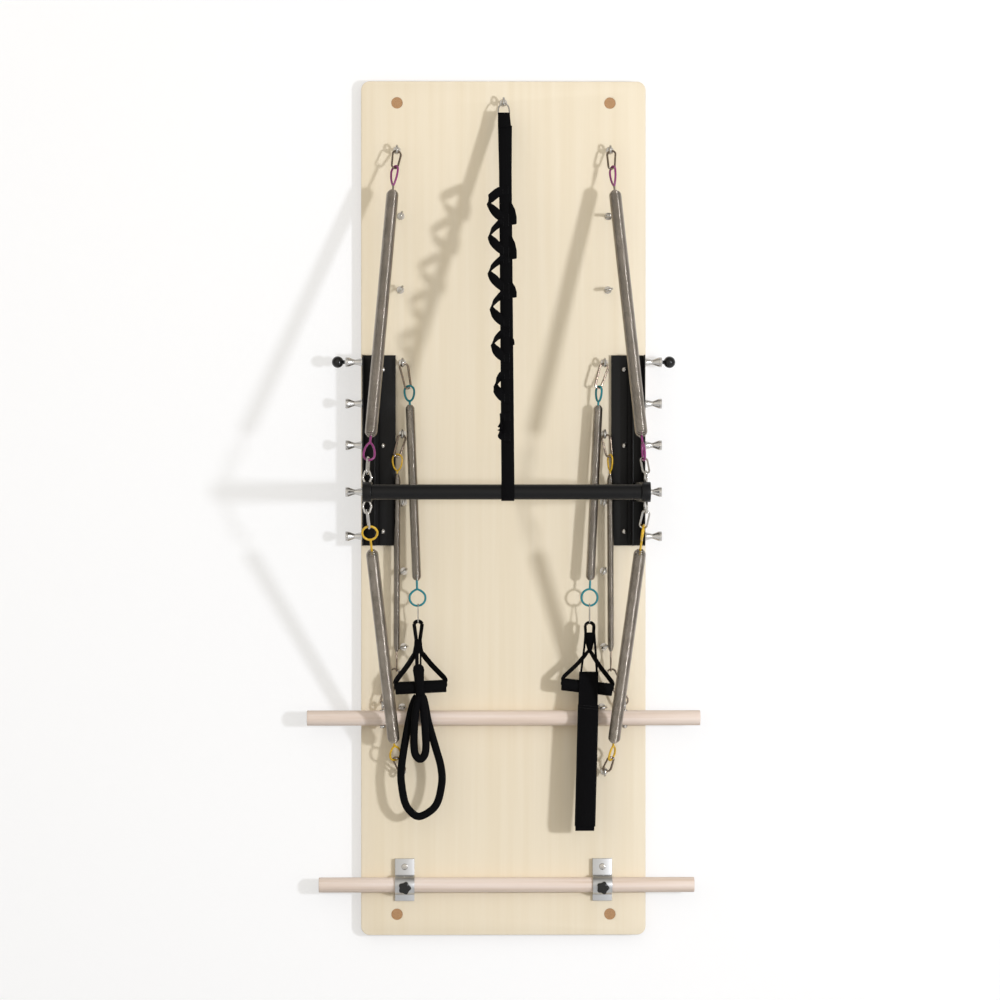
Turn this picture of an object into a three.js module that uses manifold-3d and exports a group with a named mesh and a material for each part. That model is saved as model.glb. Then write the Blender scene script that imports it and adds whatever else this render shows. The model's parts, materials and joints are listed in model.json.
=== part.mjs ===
// Wall-mounted pilates tower unit, in millimetres, +Z up.
// The board hangs on a wall at y = 0 and its front faces -Y. The origin is the centre of its back.
// A depth is a distance in front of the board's front face.
import * as THREE from 'three';
import { mergeVertices } from 'three/addons/utils/BufferGeometryUtils.js';
import Module from 'manifold-3d';

const wasm = await Module();
wasm.setup();

// Clearances
const seatGap = 0.3; // between pieces that rest on each other
const hookGap = 0.2; // between wires that hook into each other
const settleStep = 0.1; // when hooked wires are moved apart until they clear
const cutOverrun = 2; // how far a cutting tool runs past the face it cuts

// Board
const boardWidth = 660;
const boardHeight = 1980;
const boardThickness = 30;
const boardCorner = 20;
const plugDiameter = 27;
const plugRecess = 1.5;
const plugInset = 83; // from the side edges
const plugTopInset = 50;
const plugBottomInset = 48;

// Eye bolts in the board: a ring that stands square to the board, on a shank with a flange
const eyeWire = 5.5;
const eyeRingDiameter = 17.5; // of the wire's centre line
const eyeStandOff = 31; // ring centre in front of the board
const eyeFlangeDiameter = 17;
const eyeFlangeThickness = 3;
const eyeShankDiameter = 6;
const eyeColumn = 234; // from the centre line
const topEyeShift = 13; // of the top row, outward from the other rows
const eyeCenterShare = 0.9495; // heights as shares of half the board's height
const eyeUpperShare = 0.838; // upper springs
const eyePullShare = 0.3404; // handle springs
const eyeRollShare = 0.1737; // springs of the roll-down bar
const eyeLowerShare = -0.6162; // lower springs

// Side brackets: a base plate, a raised inner pad, and a rail that opens to the front
const bracketHeight = 441;
const bracketCenterHeight = 134;
const bracketWidth = 77;
const bracketEyeGap = 16; // from the eye bolts' column to the bracket's inner edge
const bracketPlate = 5;
const padWidth = 38;
const padThickness = 10;
const railWidth = 30;
const railDepth = 52;
const railWall = 3;
const boltDiameter = 12;
const boltRise = 5;
const boltInset = 30; // from the bracket's inner edge
const boltShares = [0.85, 0.05, -0.85]; // of half the bracket's height
const postDepth = 30;
const postLength = 39;
const postBase = 20;
const postWaist = 13;
const postTip = 23;
const postWaistShare = 0.45;
const postShares = [0.925, 0.49, 0.053, -0.437, -0.902]; // of half the bracket's height
const pivotPostIndex = 3; // the arms pivot behind this post
const knobBallDiameter = 27;
const knobNeckDiameter = 9;
const knobNeckLength = 4;

// Push-through bar: a tube between two flat arms that pivot in the rails
const barDepth = 400; // bar axis in front of the board
const barDiameter = 34;
const barWall = 2;
const armThickness = 20;
const armHeight = 45;
const pinDiameter = 10;
const pinHeadDiameter = 16;
const pinHeadThickness = 4;
const pinRunningGap = 0.3;
const pinSeatDepth = 8; // into the post behind the outer wall
const armEyeSetBack = 12; // eyes behind the bar axis
const armEyeWidth = 24;
const armEyeRise = 26; // above the arm
const armEyeWire = 4;
const armEyeSink = 4; // of the eye's foot into the arm
const armEyeFlatShare = 0.5;
const armEyeKneeShare = 0.33;
const armEyeTurns = { left: 0, right: 1.3 };

// Snap hooks and links
const hookWire = 4.5;
const hookWidth = 24;
const hookPearShare = 0.12;
const upperHookLength = 48;
const barLinkLength = 36;
const lowerLinkLength = 43;
const barLinkWidth = 22;
const dowelHookWidth = 27;
const handleLinkLength = 43.5;
const handleLinkWidth = 10;
const handleLinkWire = 3;

// Springs: outer diameters, walls of the wound wire, and their end loops
const heavyDiameter = 29;
const heavyWall = 3.2;
const heavyWire = 4.8;
const heavyCurls = 10;
const heavyLoopWidth = 30;
const heavyLoopHeight = 40;
const heavyStem = 12;
const heavyHookStem = 6; // at the lower springs' hooks
const upperLoopHeight = 46; // at the upper springs' hooks
const lowerLoopWidth = 38; // at the lower springs' bar links
const lowerLoopHeight = 37;
const pullDiameter = 22;
const pullWall = 2.4;
const pullWire = 4.2;
const pullCurls = 8;
const pullLoopWidth = 30;
const pullLoopHeight = 40;
const pullRingWidth = 41;
const pullRingHeight = 43;
const pullStem = 9;
const pullRingStem = 21;
const rollDiameter = 16;
const rollWall = 2;
const rollWire = 3.4;
const rollCurls = 8;
const rollLoopWidth = 28;
const rollLoopHeight = 42;
const rollHookEndWidth = 14;
const rollHookEndHeight = 44;
const rollStem = 6;
const loopOpenShare = 0.78; // of half a turn, on each side of an end loop's tip
const loopCloseShare = 0.86;
const coilGap = 0.8; // between the curls
const coneLength = 6; // of the coil's narrowing ends, past the first curl

// Where the springs hang: shifts outward from the eye bolts' column, and for the handles toward the middle
const lowerHookShift = 15;
const lowerHookRise = 32; // above the lower eye bolts
const pullHookShift = 14.5;
const pullHookDrop = 57;
const pullRingShift = 36;
const rollHookShift = 12;
const rollHookDrop = 50;
const rollEndShift = 14;
const rollEndRise = 82; // above the eye bolts of the roll-down bar

// Ladder strap between the top eye bolt and the bar
const strapWidth = 29;
const strapThickness = 3;
const strapColumn = 2;
const dRingWidth = 36;
const dRingHeight = 27;
const dRingWire = 3.6;
const strapFoldLength = 30;
const strapFoldWidth = 26; // gathered in the ring
const strapLoopAside = 40; // how far the loops' middles stand to the left
const strapLoopForward = 24;
const strapLoopThickness = 2;
const strapLoopAsideShares = [1, 0.9, 0.93, 0.85, 0.82, 0.7, 0.42]; // one for each hand loop
const strapLoopTurnShares = { right: 0.5, front: 0.7, up: 0.5 }; // of its width, in the loop's middle
const strapLoopFirstShare = 0.236; // along the strap
const strapLoopPitchShare = 0.0955;
const strapLoopSpanShare = 0.075;

// Handles
const webThickness = 2.6;
const webWidth = 20;
const webEyeRadius = 7;
const webCornerRadius = 1;
const webEyeDrop = 64; // from the small eye's inner top to the crossing
const gripDrop = 87; // from the crossing to the grip's axis
const gripDiameter = 29;
const gripBore = 23;
const gripLength = 118;
const gripShift = 42; // toward the middle from the eye bolts' column
const gripRise = 72; // above the roll-down bar's axis
const gripFront = 10.5; // the grip's axis in front of the roll-down bar
const handleTilts = { left: -2, right: 6.5 }; // degrees, as the handles happen to hang
const ropeDiameter = 16;
const ropeFrontShift = 13;
const footStrapWidth = 47;
const footStrapThickness = 3;
const footStrapGap = 8;
const footStrapRise = 16; // of its fold above the grip
const footStrapShift = 3; // from the grip's middle
const footStrapLean = 0.028; // toward the left as it hangs
const footStrapDrop = 326; // below the grip's axis

// Wooden bars
const dowelDiameter = 35;
const rollBarLength = 910;
const rollBarShare = -0.49; // of half the board's height
const rollEyeShift = 46; // of its eye bolts, outward from those in the board
const rollNutDiameter = 12;
const rollNutRise = 7;
const footBarLength = 870;
const footBarShift = 7; // it lies off centre in its clamps
const footBarGap = 1;
const footBarShare = -0.881;
const clampColumn = 229;
const clampWidth = 45;
const clampTopReach = 60; // above the bar's axis
const clampBottomReach = 38;
const clampBlock = 13;
const clampFoot = 8;
const clampWall = 5;
const clampScrewDiameter = 15;
const clampScrewRise = 2.5;
const starDiameter = 30;
const starLobes = 5;
const starLobeShare = 0.16;
const starThickness = 15;
const starStudDiameter = 8;
const starDrop = 5; // below the bar's axis

// Facets
const wireSides = 5;
const curlSteps = 8;
const loopSteps = 9;
const taperSteps = 5;
const linkSides = 6;
const linkSteps = 10;
const roundSides = 20;
const smallSides = 10;
const cornerSteps = 4;
const handLoopSteps = 7;
const ropeSides = 8;
const ropeSteps = 28;
const smallRopeSteps = 18;
const pathSamples = 6;
const deepestNesting = 2; // times the wires' own distance
const weldDistance = 1e-4;

// Worked out from the sizes above
const boardFront = -boardThickness;
const halfHeight = boardHeight / 2;
const bracketInner = eyeColumn + bracketEyeGap;
const bracketOuter = bracketInner + bracketWidth;
const railCenter = bracketOuter - railWidth / 2;
const armInner = railCenter - armThickness / 2;
const pivotHeight = bracketCenterHeight + (postShares[pivotPostIndex] * bracketHeight) / 2;
const eyeInnerRadius = (eyeRingDiameter - eyeWire) / 2;
const sideNames = ['left', 'right'];
const sideSigns = { left: -1, right: 1 };

const matte = (color, roughness) => new THREE.MeshStandardMaterial({ color, roughness, metalness: 0 });
const metal = (color, roughness) => new THREE.MeshStandardMaterial({ color, roughness, metalness: 1 });
const maple = () => matte(0xefe1c6, 0.55);
const paleWood = () => matte(0xe8d4c4, 0.5);
const blackSatin = () => matte(0x2e2e32, 0.4);
const chrome = () => metal(0xd2d2d4, 0.18);
const springSteel = () => metal(0xa9a69f, 0.35);
const blackWebbing = () => matte(0x141416, 0.85);
const blackFoam = () => matte(0x18181a, 0.75);
const blackPlastic = () => matte(0x101012, 0.35);
const aluminium = () => metal(0xbec0c4, 0.4);

// A point at x, a depth in front of the board, and a height.
function at(x, depth, height) {
  return new THREE.Vector3(x, boardFront - depth, height);
}

function named(name, geometry, material) {
  const mesh = new THREE.Mesh(geometry, material);
  mesh.name = name;
  return mesh;
}

// Join shared corners, drop triangles without area and turn the faces outward.
function tidied(geometry) {
  const bare = geometry.index ? geometry.toNonIndexed() : geometry.clone();
  bare.deleteAttribute('normal');
  bare.deleteAttribute('uv');
  const merged = mergeVertices(bare, weldDistance);
  const index = merged.index.array;
  const kept = [];
  for (let i = 0; i < index.length; i += 3) {
    const [a, b, c] = [index[i], index[i + 1], index[i + 2]];
    if (a !== b && b !== c && c !== a) {
      kept.push(a, b, c);
    }
  }
  merged.setIndex(kept);
  if (signedVolume(merged) < 0) {
    merged.setIndex(kept.reverse());
  }
  return merged;
}

function signedVolume(geometry) {
  const position = geometry.attributes.position;
  const index = geometry.index.array;
  const corners = [new THREE.Vector3(), new THREE.Vector3(), new THREE.Vector3()];
  let volume = 0;
  for (let i = 0; i < index.length; i += 3) {
    corners.forEach((corner, n) => corner.fromBufferAttribute(position, index[i + n]));
    volume += corners[0].dot(corners[1].clone().cross(corners[2]));
  }
  return volume;
}

function solidOf(geometry) {
  const merged = tidied(geometry);
  return new wasm.Manifold(new wasm.Mesh({
    numProp: 3,
    vertProperties: new Float32Array(merged.attributes.position.array),
    triVerts: new Uint32Array(merged.index.array),
  }));
}

function geometryOf(solid) {
  const result = solid.getMesh();
  const geometry = new THREE.BufferGeometry();
  geometry.setAttribute('position', new THREE.BufferAttribute(new Float32Array(result.vertProperties), 3));
  geometry.setIndex(new THREE.BufferAttribute(new Uint32Array(result.triVerts), 1));
  geometry.computeVertexNormals();
  return geometry;
}

function joined(geometries) {
  return geometryOf(geometries.map(solidOf).reduce((sum, part) => sum.add(part)));
}

function cut(geometry, tools) {
  return geometryOf(tools.map(solidOf).reduce((sum, tool) => sum.subtract(tool), solidOf(geometry)));
}

// A cylinder of a given diameter that runs from one point to another.
function rod(from, to, diameter, sides = smallSides) {
  const along = to.clone().sub(from);
  const geometry = new THREE.CylinderGeometry(diameter / 2, diameter / 2, along.length(), sides);
  const turn = new THREE.Quaternion().setFromUnitVectors(new THREE.Vector3(0, 1, 0), along.normalize());
  const middle = from.clone().add(to).multiplyScalar(0.5);
  return geometry.applyMatrix4(new THREE.Matrix4().compose(middle, turn, new THREE.Vector3(1, 1, 1)));
}

// A turned piece: its profile holds [radius, distance] pairs, with the distance along an axis.
function turned(profile, from, direction, sides = smallSides) {
  const geometry = new THREE.LatheGeometry(profile.map(([r, d]) => new THREE.Vector2(r, d)), sides);
  const turn = new THREE.Quaternion().setFromUnitVectors(new THREE.Vector3(0, 1, 0), direction);
  return geometry.applyMatrix4(new THREE.Matrix4().compose(from, turn, new THREE.Vector3(1, 1, 1)));
}

// A closed skin through rings of points. An open one gets an end cap on each end.
function skinThrough(rings, closed) {
  const sides = rings[0].length;
  const positions = rings.flat().flatMap((p) => [p.x, p.y, p.z]);
  const indices = [];
  const spans = closed ? rings.length : rings.length - 1;
  for (let i = 0; i < spans; i += 1) {
    const here = i * sides;
    const there = ((i + 1) % rings.length) * sides;
    for (let s = 0; s < sides; s += 1) {
      const t = (s + 1) % sides;
      indices.push(here + s, here + t, there + t, here + s, there + t, there + s);
    }
  }
  if (!closed) {
    const last = (rings.length - 1) * sides;
    for (let s = 1; s < sides - 1; s += 1) {
      indices.push(0, s + 1, s, last, last + s, last + s + 1);
    }
  }
  const geometry = new THREE.BufferGeometry();
  geometry.setAttribute('position', new THREE.Float32BufferAttribute(positions, 3));
  geometry.setIndex(indices);
  return geometry;
}

// Directions across an axis: at turn 0 the first lies as near to +X as it can.
function across(axis, turn) {
  const side = new THREE.Vector3(1, 0, 0).addScaledVector(axis, -axis.x).normalize();
  const other = axis.clone().cross(side);
  return side.multiplyScalar(Math.cos(turn)).addScaledVector(other, Math.sin(turn));
}

// A ring of wire through a flat closed path with the given normal.
function wireLoop(points, normal, wire, sides = linkSides) {
  const rings = points.map((point, i) => {
    const next = points[(i + 1) % points.length];
    const before = points[(i + points.length - 1) % points.length];
    const outward = next.clone().sub(before).normalize().cross(normal);
    return ringAround(point, normal, outward, wire / 2, sides);
  });
  return skinThrough(rings, true);
}

function ringAround(point, a, b, radius, sides) {
  const ring = [];
  for (let s = 0; s < sides; s += 1) {
    const angle = (2 * Math.PI * s) / sides;
    ring.push(point.clone()
      .addScaledVector(a, radius * Math.cos(angle))
      .addScaledVector(b, radius * Math.sin(angle)));
  }
  return ring;
}

// The centre line of a loop of wire: round at its tip, and closing in as it runs on along its axis
function loopPath(tip, axis, side, loop, angles) {
  return angles.map((angle) => {
    const near = Math.cos(angle) > 0;
    const radius = near ? loop.nearRadius : loop.farRadius;
    const along = near
      ? loop.nearRadius * (1 - Math.cos(angle))
      : loop.height - loop.farDepth * (1 + Math.cos(angle));
    return tip.clone()
      .addScaledVector(axis, along)
      .addScaledVector(side, radius * Math.sin(angle));
  });
}

const linkAngles = Array.from({ length: linkSteps }, (_, i) => (Math.PI * (2 * i + 1)) / linkSteps);
const loopAngles = Array.from({ length: loopSteps + 1 }, (_, i) => (
  Math.PI * (((loopOpenShare + loopCloseShare) * i) / loopSteps - loopOpenShare)));

// A link or snap hook, wider at its first end by the pear share
function linkPath(from, to, side, { width, wire, pearShare = 0 }) {
  const axis = to.clone().sub(from).normalize();
  const radius = (width - wire) / 2;
  const farRadius = radius * (1 - pearShare);
  return loopPath(from, axis, side, {
    nearRadius: radius * (1 + pearShare), farRadius, farDepth: farRadius, height: to.distanceTo(from),
  }, linkAngles);
}

// A spring's end loop, with its tip beyond the joint it hangs in
function endLoopPath(tip, axis, side, end) {
  const radius = end.width / 2;
  return loopPath(tip, axis, side, {
    nearRadius: radius, farRadius: radius, farDepth: end.height - radius, height: end.height,
  }, loopAngles);
}

// The least distance between two centre lines, each measured at even steps between its corners
function pathDistance(a, b) {
  const sampled = (path) => path.slice(1).flatMap((point, i) => (
    Array.from({ length: pathSamples }, (_, n) => path[i].clone().lerp(point, n / pathSamples))));
  const others = sampled(b);
  return Math.min(...sampled(a).flatMap((p) => others.map((q) => p.distanceTo(q))));
}

const closedPath = (path) => [...path, path[0]];

// How far a link and a spring's loop reach past their joint for their wires to clear each other
function settle(link, loop) {
  const needed = (link.wire + loop.wire) / 2 + hookGap;
  const distance = (past) => pathDistance(closedPath(link.path(past)), loop.path(past));
  let past = needed / 2;
  while (past < deepestNesting * needed && distance(past) < needed) {
    past += settleStep;
  }
  return past;
}

// A link that hangs in a ring, as far towards its joint as the ring lets it.
// A ring's height and depth are how far its wire and its other side lie from the point it is pulled at.
function hungLink(ring, joint, size) {
  const axis = joint.clone().sub(ring.center).normalize();
  const side = across(axis, size.turn);
  const needed = (ring.wire + size.wire) / 2 + hookGap;
  const path = (reach, past) => linkPath(
    towards(ring.center, joint, reach), joint.clone().addScaledVector(axis, past), side, size);
  let reach = -ring.depth;
  for (let further = reach; further < ring.height; further += settleStep) {
    if (pathDistance(ring.path, closedPath(path(further, 0))) > needed) {
      reach = further;
    }
  }
  return { path: (past) => path(reach, past), normal: axis.clone().cross(side), wire: size.wire };
}

function hungEnd(joint, axis, side, wire, end) {
  return { path: (past) => endLoopPath(joint.clone().addScaledVector(axis, -past), axis, side, end), wire };
}

// The outline of a tight belt round equal circles on the given points, anticlockwise.
function beltOutline(points, radius) {
  const outline = [];
  points.forEach((point, i) => {
    const next = points[(i + 1) % points.length];
    const before = points[(i + points.length - 1) % points.length];
    const start = Math.atan2(point.y - before.y, point.x - before.x) - Math.PI / 2;
    let end = Math.atan2(next.y - point.y, next.x - point.x) - Math.PI / 2;
    while (end < start) {
      end += 2 * Math.PI;
    }
    for (let n = 0; n <= cornerSteps; n += 1) {
      const angle = start + ((end - start) * n) / cornerSteps;
      outline.push(new THREE.Vector2(point.x + radius * Math.cos(angle), point.y + radius * Math.sin(angle)));
    }
  });
  return outline;
}

// A band of even thickness round circles on the given points, centred across its width.
function belt(points, radius, thickness, width) {
  const shape = new THREE.Shape(beltOutline(points, radius + thickness));
  shape.holes.push(new THREE.Path(beltOutline(points, radius)));
  return new THREE.ExtrudeGeometry(shape, { depth: width, bevelEnabled: false, curveSegments: 1 })
    .translate(0, 0, -width / 2);
}

// The five corners of a spring's wire: round, or drawn out along the axis where curls lie close.
function roundWire(wire) {
  return Array.from({ length: wireSides }, (_, s) => {
    const angle = (2 * Math.PI * s) / wireSides;
    return [(wire / 2) * Math.cos(angle), (wire / 2) * Math.sin(angle)];
  });
}

function drawnOutWire(wall, low, high, middle) {
  const shoulder = wall / 4;
  return [
    [wall / 2, (low + high) / 2 - middle],
    [shoulder, high - middle],
    [-wall / 2, high - middle],
    [-wall / 2, low - middle],
    [shoulder, low - middle],
  ];
}

// A close-wound spring with a loop on each end, as one unbroken wire.
// Each modelled curl stands for several turns of the real wire.
function spring(from, to, size, ends) {
  const axis = to.clone().sub(from).normalize();
  const length = to.distanceTo(from);
  const radial = (angle) => across(axis, angle);
  const point = (along, reach, direction) => from.clone()
    .addScaledVector(axis, along)
    .addScaledVector(direction, reach);
  const radius = (size.diameter - size.wall) / 2;
  const stepAngle = (2 * Math.PI) / curlSteps;
  const taperAngle = taperSteps * stepAngle;

  // The coil's turns fit the loops at both ends, so that the wire leaves it square to each loop.
  const spare = (ends.far.turn - ends.near.turn - 2 * taperAngle) / (2 * Math.PI);
  const curls = spare + Math.round((size.curls - spare) * 2) / 2;
  const roughPitch = (length - ends.near.height - ends.far.height) / size.curls;
  const firstStep = roughPitch / curlSteps;
  const coilStart = ends.near.height + ends.near.stem + firstStep + coneLength - size.wire / 2;
  const coilEnd = length - ends.far.height - ends.far.stem - firstStep - coneLength + size.wire / 2;
  const coilLength = coilEnd - coilStart;
  const pitch = (coilLength - 2 * size.wire - coilGap) / (curls - 1);
  const startTurns = (size.wire + coilGap) / pitch;

  const stations = [];
  const round = roundWire(size.wire);
  const addLoop = (centres, normal) => centres.forEach((centre) => {
    stations.push({ centre, a: normal, blend: 0, shape: round });
  });

  const startAngle = ends.near.turn + Math.PI / 2;
  const coilStartAngle = startAngle + taperAngle;
  const endAngle = coilStartAngle + 2 * Math.PI * curls + taperAngle;
  addLoop(endLoopPath(from, axis, radial(ends.near.turn), ends.near), radial(startAngle));

  // The wire climbs from the axis to the coil's radius, its last step as steep as the coil.
  for (let i = 0; i < taperSteps; i += 1) {
    const angle = startAngle + i * stepAngle;
    stations.push({
      centre: point(ends.near.height + ends.near.stem + (coneLength * i) / (taperSteps - 1),
        (radius * i) / taperSteps, radial(angle)),
      a: radial(angle),
      blend: i / taperSteps,
      shape: round,
    });
  }

  // Each curl is drawn out along the axis until it nearly meets the next.
  const steps = Math.round(curls * curlSteps);
  for (let i = 0; i <= steps; i += 1) {
    const turns = startTurns + (curls * i) / steps;
    const angle = coilStartAngle + (2 * Math.PI * curls * i) / steps;
    const low = Math.max(coilStart, coilStart + pitch * (turns - 1));
    const high = Math.min(coilEnd, coilStart + pitch * turns - coilGap);
    const middle = (low + high) / 2;
    stations.push({
      centre: point(middle, radius, radial(angle)),
      a: radial(angle),
      blend: 1,
      shape: drawnOutWire(size.wall, low, high, middle),
    });
  }
  for (let i = taperSteps - 1; i >= 0; i -= 1) {
    const angle = endAngle - i * stepAngle;
    stations.push({
      centre: point(length - ends.far.height - ends.far.stem - (coneLength * i) / (taperSteps - 1),
        (radius * i) / taperSteps, radial(angle)),
      a: radial(angle),
      blend: i / taperSteps,
      shape: round,
    });
  }
  const farLoop = endLoopPath(to, axis.clone().negate(), radial(ends.far.turn), ends.far);
  addLoop(farLoop.reverse(), radial(endAngle));

  const rings = stations.map((station, i) => {
    const next = stations[Math.min(i + 1, stations.length - 1)].centre;
    const before = stations[Math.max(i - 1, 0)].centre;
    const tangent = next.clone().sub(before).normalize();
    const b = station.a.clone().cross(tangent).normalize().lerp(axis, station.blend).normalize();
    return station.shape.map(([x, y]) => station.centre.clone()
      .addScaledVector(station.a, x)
      .addScaledVector(b, y));
  });
  return { geometry: skinThrough(rings, false), rings };
}

// The least distance between points of a wire that lie well apart along it.
function leastGap(rings) {
  const apart = curlSteps - 2;
  let least = Infinity;
  for (let i = 0; i < rings.length; i += 1) {
    for (let j = i + apart; j < rings.length; j += 1) {
      least = Math.min(least, ...rings[i].flatMap((p) => rings[j].map((q) => p.distanceTo(q))));
    }
  }
  return least;
}

function springNode(name, from, to, size, ends) {
  const { geometry, rings } = spring(from, to, size, ends);
  console.log(`${name}: least gap to itself ${leastGap(rings).toFixed(2)} mm`);
  return named(name, tidied(geometry), springSteel());
}

// Board with four shallow round recesses, whose floors are its mounting plugs
function backboard() {
  const w = boardWidth / 2 - boardCorner;
  const h = halfHeight - boardCorner;
  const corners = [[w, -h], [w, h], [-w, h], [-w, -h]].map(([x, y]) => new THREE.Vector2(x, y));
  const shape = new THREE.Shape(beltOutline(corners, boardCorner));
  const slab = new THREE.ExtrudeGeometry(shape, { depth: boardThickness, bevelEnabled: false })
    .rotateX(Math.PI / 2);
  const recesses = [];
  for (const sign of [-1, 1]) {
    const x = sign * (boardWidth / 2 - plugInset);
    for (const height of [halfHeight - plugTopInset, plugBottomInset - halfHeight]) {
      recesses.push(rod(at(x, -plugRecess, height), at(x, cutOverrun, height), plugDiameter, roundSides));
    }
  }
  return named('backboard', cut(slab, recesses), maple());
}

// Eye bolt whose ring's hole runs along X
function eyeBolt(x, height) {
  const ring = new THREE.TorusGeometry(eyeRingDiameter / 2, eyeWire / 2, linkSides, linkSteps)
    .rotateY(Math.PI / 2)
    .translate(x, boardFront - eyeStandOff, height);
  const flange = rod(at(x, seatGap, height), at(x, seatGap + eyeFlangeThickness, height), eyeFlangeDiameter);
  const shankEnd = eyeStandOff - eyeRingDiameter / 2;
  const shank = rod(at(x, seatGap, height), at(x, shankEnd, height), eyeShankDiameter, linkSides);
  return joined([ring, flange, shank]);
}

function eyeCenter(column, share) {
  return at(column, eyeStandOff, share * halfHeight);
}

function eyeBolts() {
  const meshes = [named('eye_bolt_top_center', eyeBolt(0, eyeCenterShare * halfHeight), chrome())];
  const rows = { 1: eyeUpperShare, 4: eyePullShare, 5: eyeRollShare, 10: eyeLowerShare };
  for (const side of sideNames) {
    for (const [row, share] of Object.entries(rows)) {
      const shift = share === eyeUpperShare ? topEyeShift : 0;
      const geometry = eyeBolt(sideSigns[side] * (eyeColumn + shift), share * halfHeight);
      meshes.push(named(`eye_bolt_${side}_row_${row}`, geometry, chrome()));
    }
  }
  return meshes;
}

// A block between two x, two depths and two heights, mirrored to the part's side
function block(sign, xs, depths, heights) {
  const size = [xs[1] - xs[0], depths[1] - depths[0], heights[1] - heights[0]];
  return new THREE.BoxGeometry(...size).translate(
    (sign * (xs[0] + xs[1])) / 2,
    boardFront - (depths[0] + depths[1]) / 2,
    (heights[0] + heights[1]) / 2,
  );
}

function bracketHeightAt(share) {
  return bracketCenterHeight + (share * bracketHeight) / 2;
}

// Spool post: waisted, on the rail's outer face
function spoolPost(sign, height) {
  const waist = postLength * postWaistShare;
  const profile = [
    [0, -railWall / 2],
    [postBase / 2, -railWall / 2],
    [postBase / 2, 0],
    [postWaist / 2, waist],
    [postTip / 2, postLength - railWall],
    [postTip / 2, postLength],
    [0, postLength],
  ];
  return turned(profile, at(sign * bracketOuter, postDepth, height), new THREE.Vector3(sign, 0, 0));
}

function domeBolt(sign, height) {
  const profile = [
    [0, -boltRise / 2],
    [boltDiameter / 2, -boltRise / 2],
    [boltDiameter / 2, boltRise / 2],
    [boltDiameter / 4, boltRise],
    [0, boltRise],
  ];
  const column = bracketInner + boltInset;
  return turned(profile, at(sign * column, padThickness, height), new THREE.Vector3(0, -1, 0));
}

function sideBracket(side) {
  const sign = sideSigns[side];
  const heights = [bracketHeightAt(-1), bracketHeightAt(1)];
  const railInner = bracketOuter - railWidth;
  const walls = [railInner, bracketOuter - railWall].map((x) => (
    block(sign, [x, x + railWall], [seatGap, railDepth], heights)));
  const body = joined([
    block(sign, [bracketInner, bracketOuter], [seatGap, bracketPlate], heights),
    block(sign, [bracketInner, bracketInner + padWidth], [seatGap, padThickness], heights),
    ...walls,
    ...postShares.map((share) => spoolPost(sign, bracketHeightAt(share))),
    ...boltShares.map((share) => domeBolt(sign, bracketHeightAt(share))),
  ]);
  const pinHole = rod(
    at(sign * (railInner - cutOverrun), postDepth, pivotHeight),
    at(sign * (bracketOuter + pinSeatDepth + seatGap), postDepth, pivotHeight),
    pinDiameter + 2 * pinRunningGap,
  );
  return named(`side_bracket_${side}`, cut(body, [pinHole]), blackSatin());
}

// Ball knob on the end of the top post
function ballKnob(side) {
  const sign = sideSigns[side];
  const height = bracketHeightAt(postShares[0]);
  const tip = sign * (bracketOuter + postLength + seatGap);
  const center = tip + sign * (knobNeckLength + knobBallDiameter / 2);
  const ball = new THREE.SphereGeometry(knobBallDiameter / 2, smallSides, curlSteps)
    .rotateZ(Math.PI / 2)
    .translate(center, boardFront - postDepth, height);
  const neck = rod(at(tip, postDepth, height), at(center, postDepth, height), knobNeckDiameter);
  return named(`ball_knob_${side}`, joined([ball, neck]), blackPlastic());
}

function pushBarTube() {
  const half = armInner - seatGap;
  const outer = barDiameter / 2;
  const inner = outer - barWall;
  const profile = [[inner, -half], [outer, -half], [outer, half], [inner, half], [inner, -half]];
  const tube = turned(profile, at(0, barDepth, pivotHeight), new THREE.Vector3(1, 0, 0), roundSides);
  return named('push_through_bar', tidied(tube), blackSatin());
}

// Six-sided eye on an arm's upper or lower face; the two sides' eyes stand turned differently
function armEyePath(side, above) {
  const half = (armEyeWidth - armEyeWire) / 2;
  const flat = half * armEyeFlatShare;
  const foot = armHeight / 2 - armEyeSink;
  const knee = armHeight / 2 + armEyeRise * armEyeKneeShare;
  const top = armHeight / 2 + armEyeRise - armEyeWire / 2;
  const axis = new THREE.Vector3(0, 0, above);
  const sideways = across(axis, armEyeTurns[side]);
  const center = at(sideSigns[side] * railCenter, barDepth - armEyeSetBack, pivotHeight);
  const outline = [[-flat, foot], [-half, knee], [-flat, top], [flat, top], [half, knee], [flat, foot]];
  const path = outline.map(([x, z]) => center.clone()
    .addScaledVector(sideways, x)
    .addScaledVector(axis, z));
  return { path, normal: axis.clone().cross(sideways) };
}

function armEye(side, above) {
  const { path, normal } = armEyePath(side, above);
  return wireLoop(path, normal, armEyeWire);
}

// The eye as a ring that a link hangs in
function armRing(side, above) {
  const { path } = armEyePath(side, above);
  const height = (armEyeWire + hookWire) / 2 + hookGap;
  const reach = above * (armHeight / 2 + armEyeRise - armEyeWire / 2 - height);
  const center = at(sideSigns[side] * railCenter, barDepth - armEyeSetBack, pivotHeight + reach);
  return { path: closedPath(path), center, wire: armEyeWire, height, depth: height };
}

// A plate cut to an outline of depths and heights, centred at x
function sidePlate(outline, x, thickness) {
  const toPlace = new THREE.Matrix4().set(
    0, 0, 1, x - thickness / 2,
    -1, 0, 0, boardFront,
    0, 1, 0, 0,
    0, 0, 0, 1,
  );
  return new THREE.ExtrudeGeometry(new THREE.Shape(outline), { depth: thickness, bevelEnabled: false })
    .applyMatrix4(toPlace);
}

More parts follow.
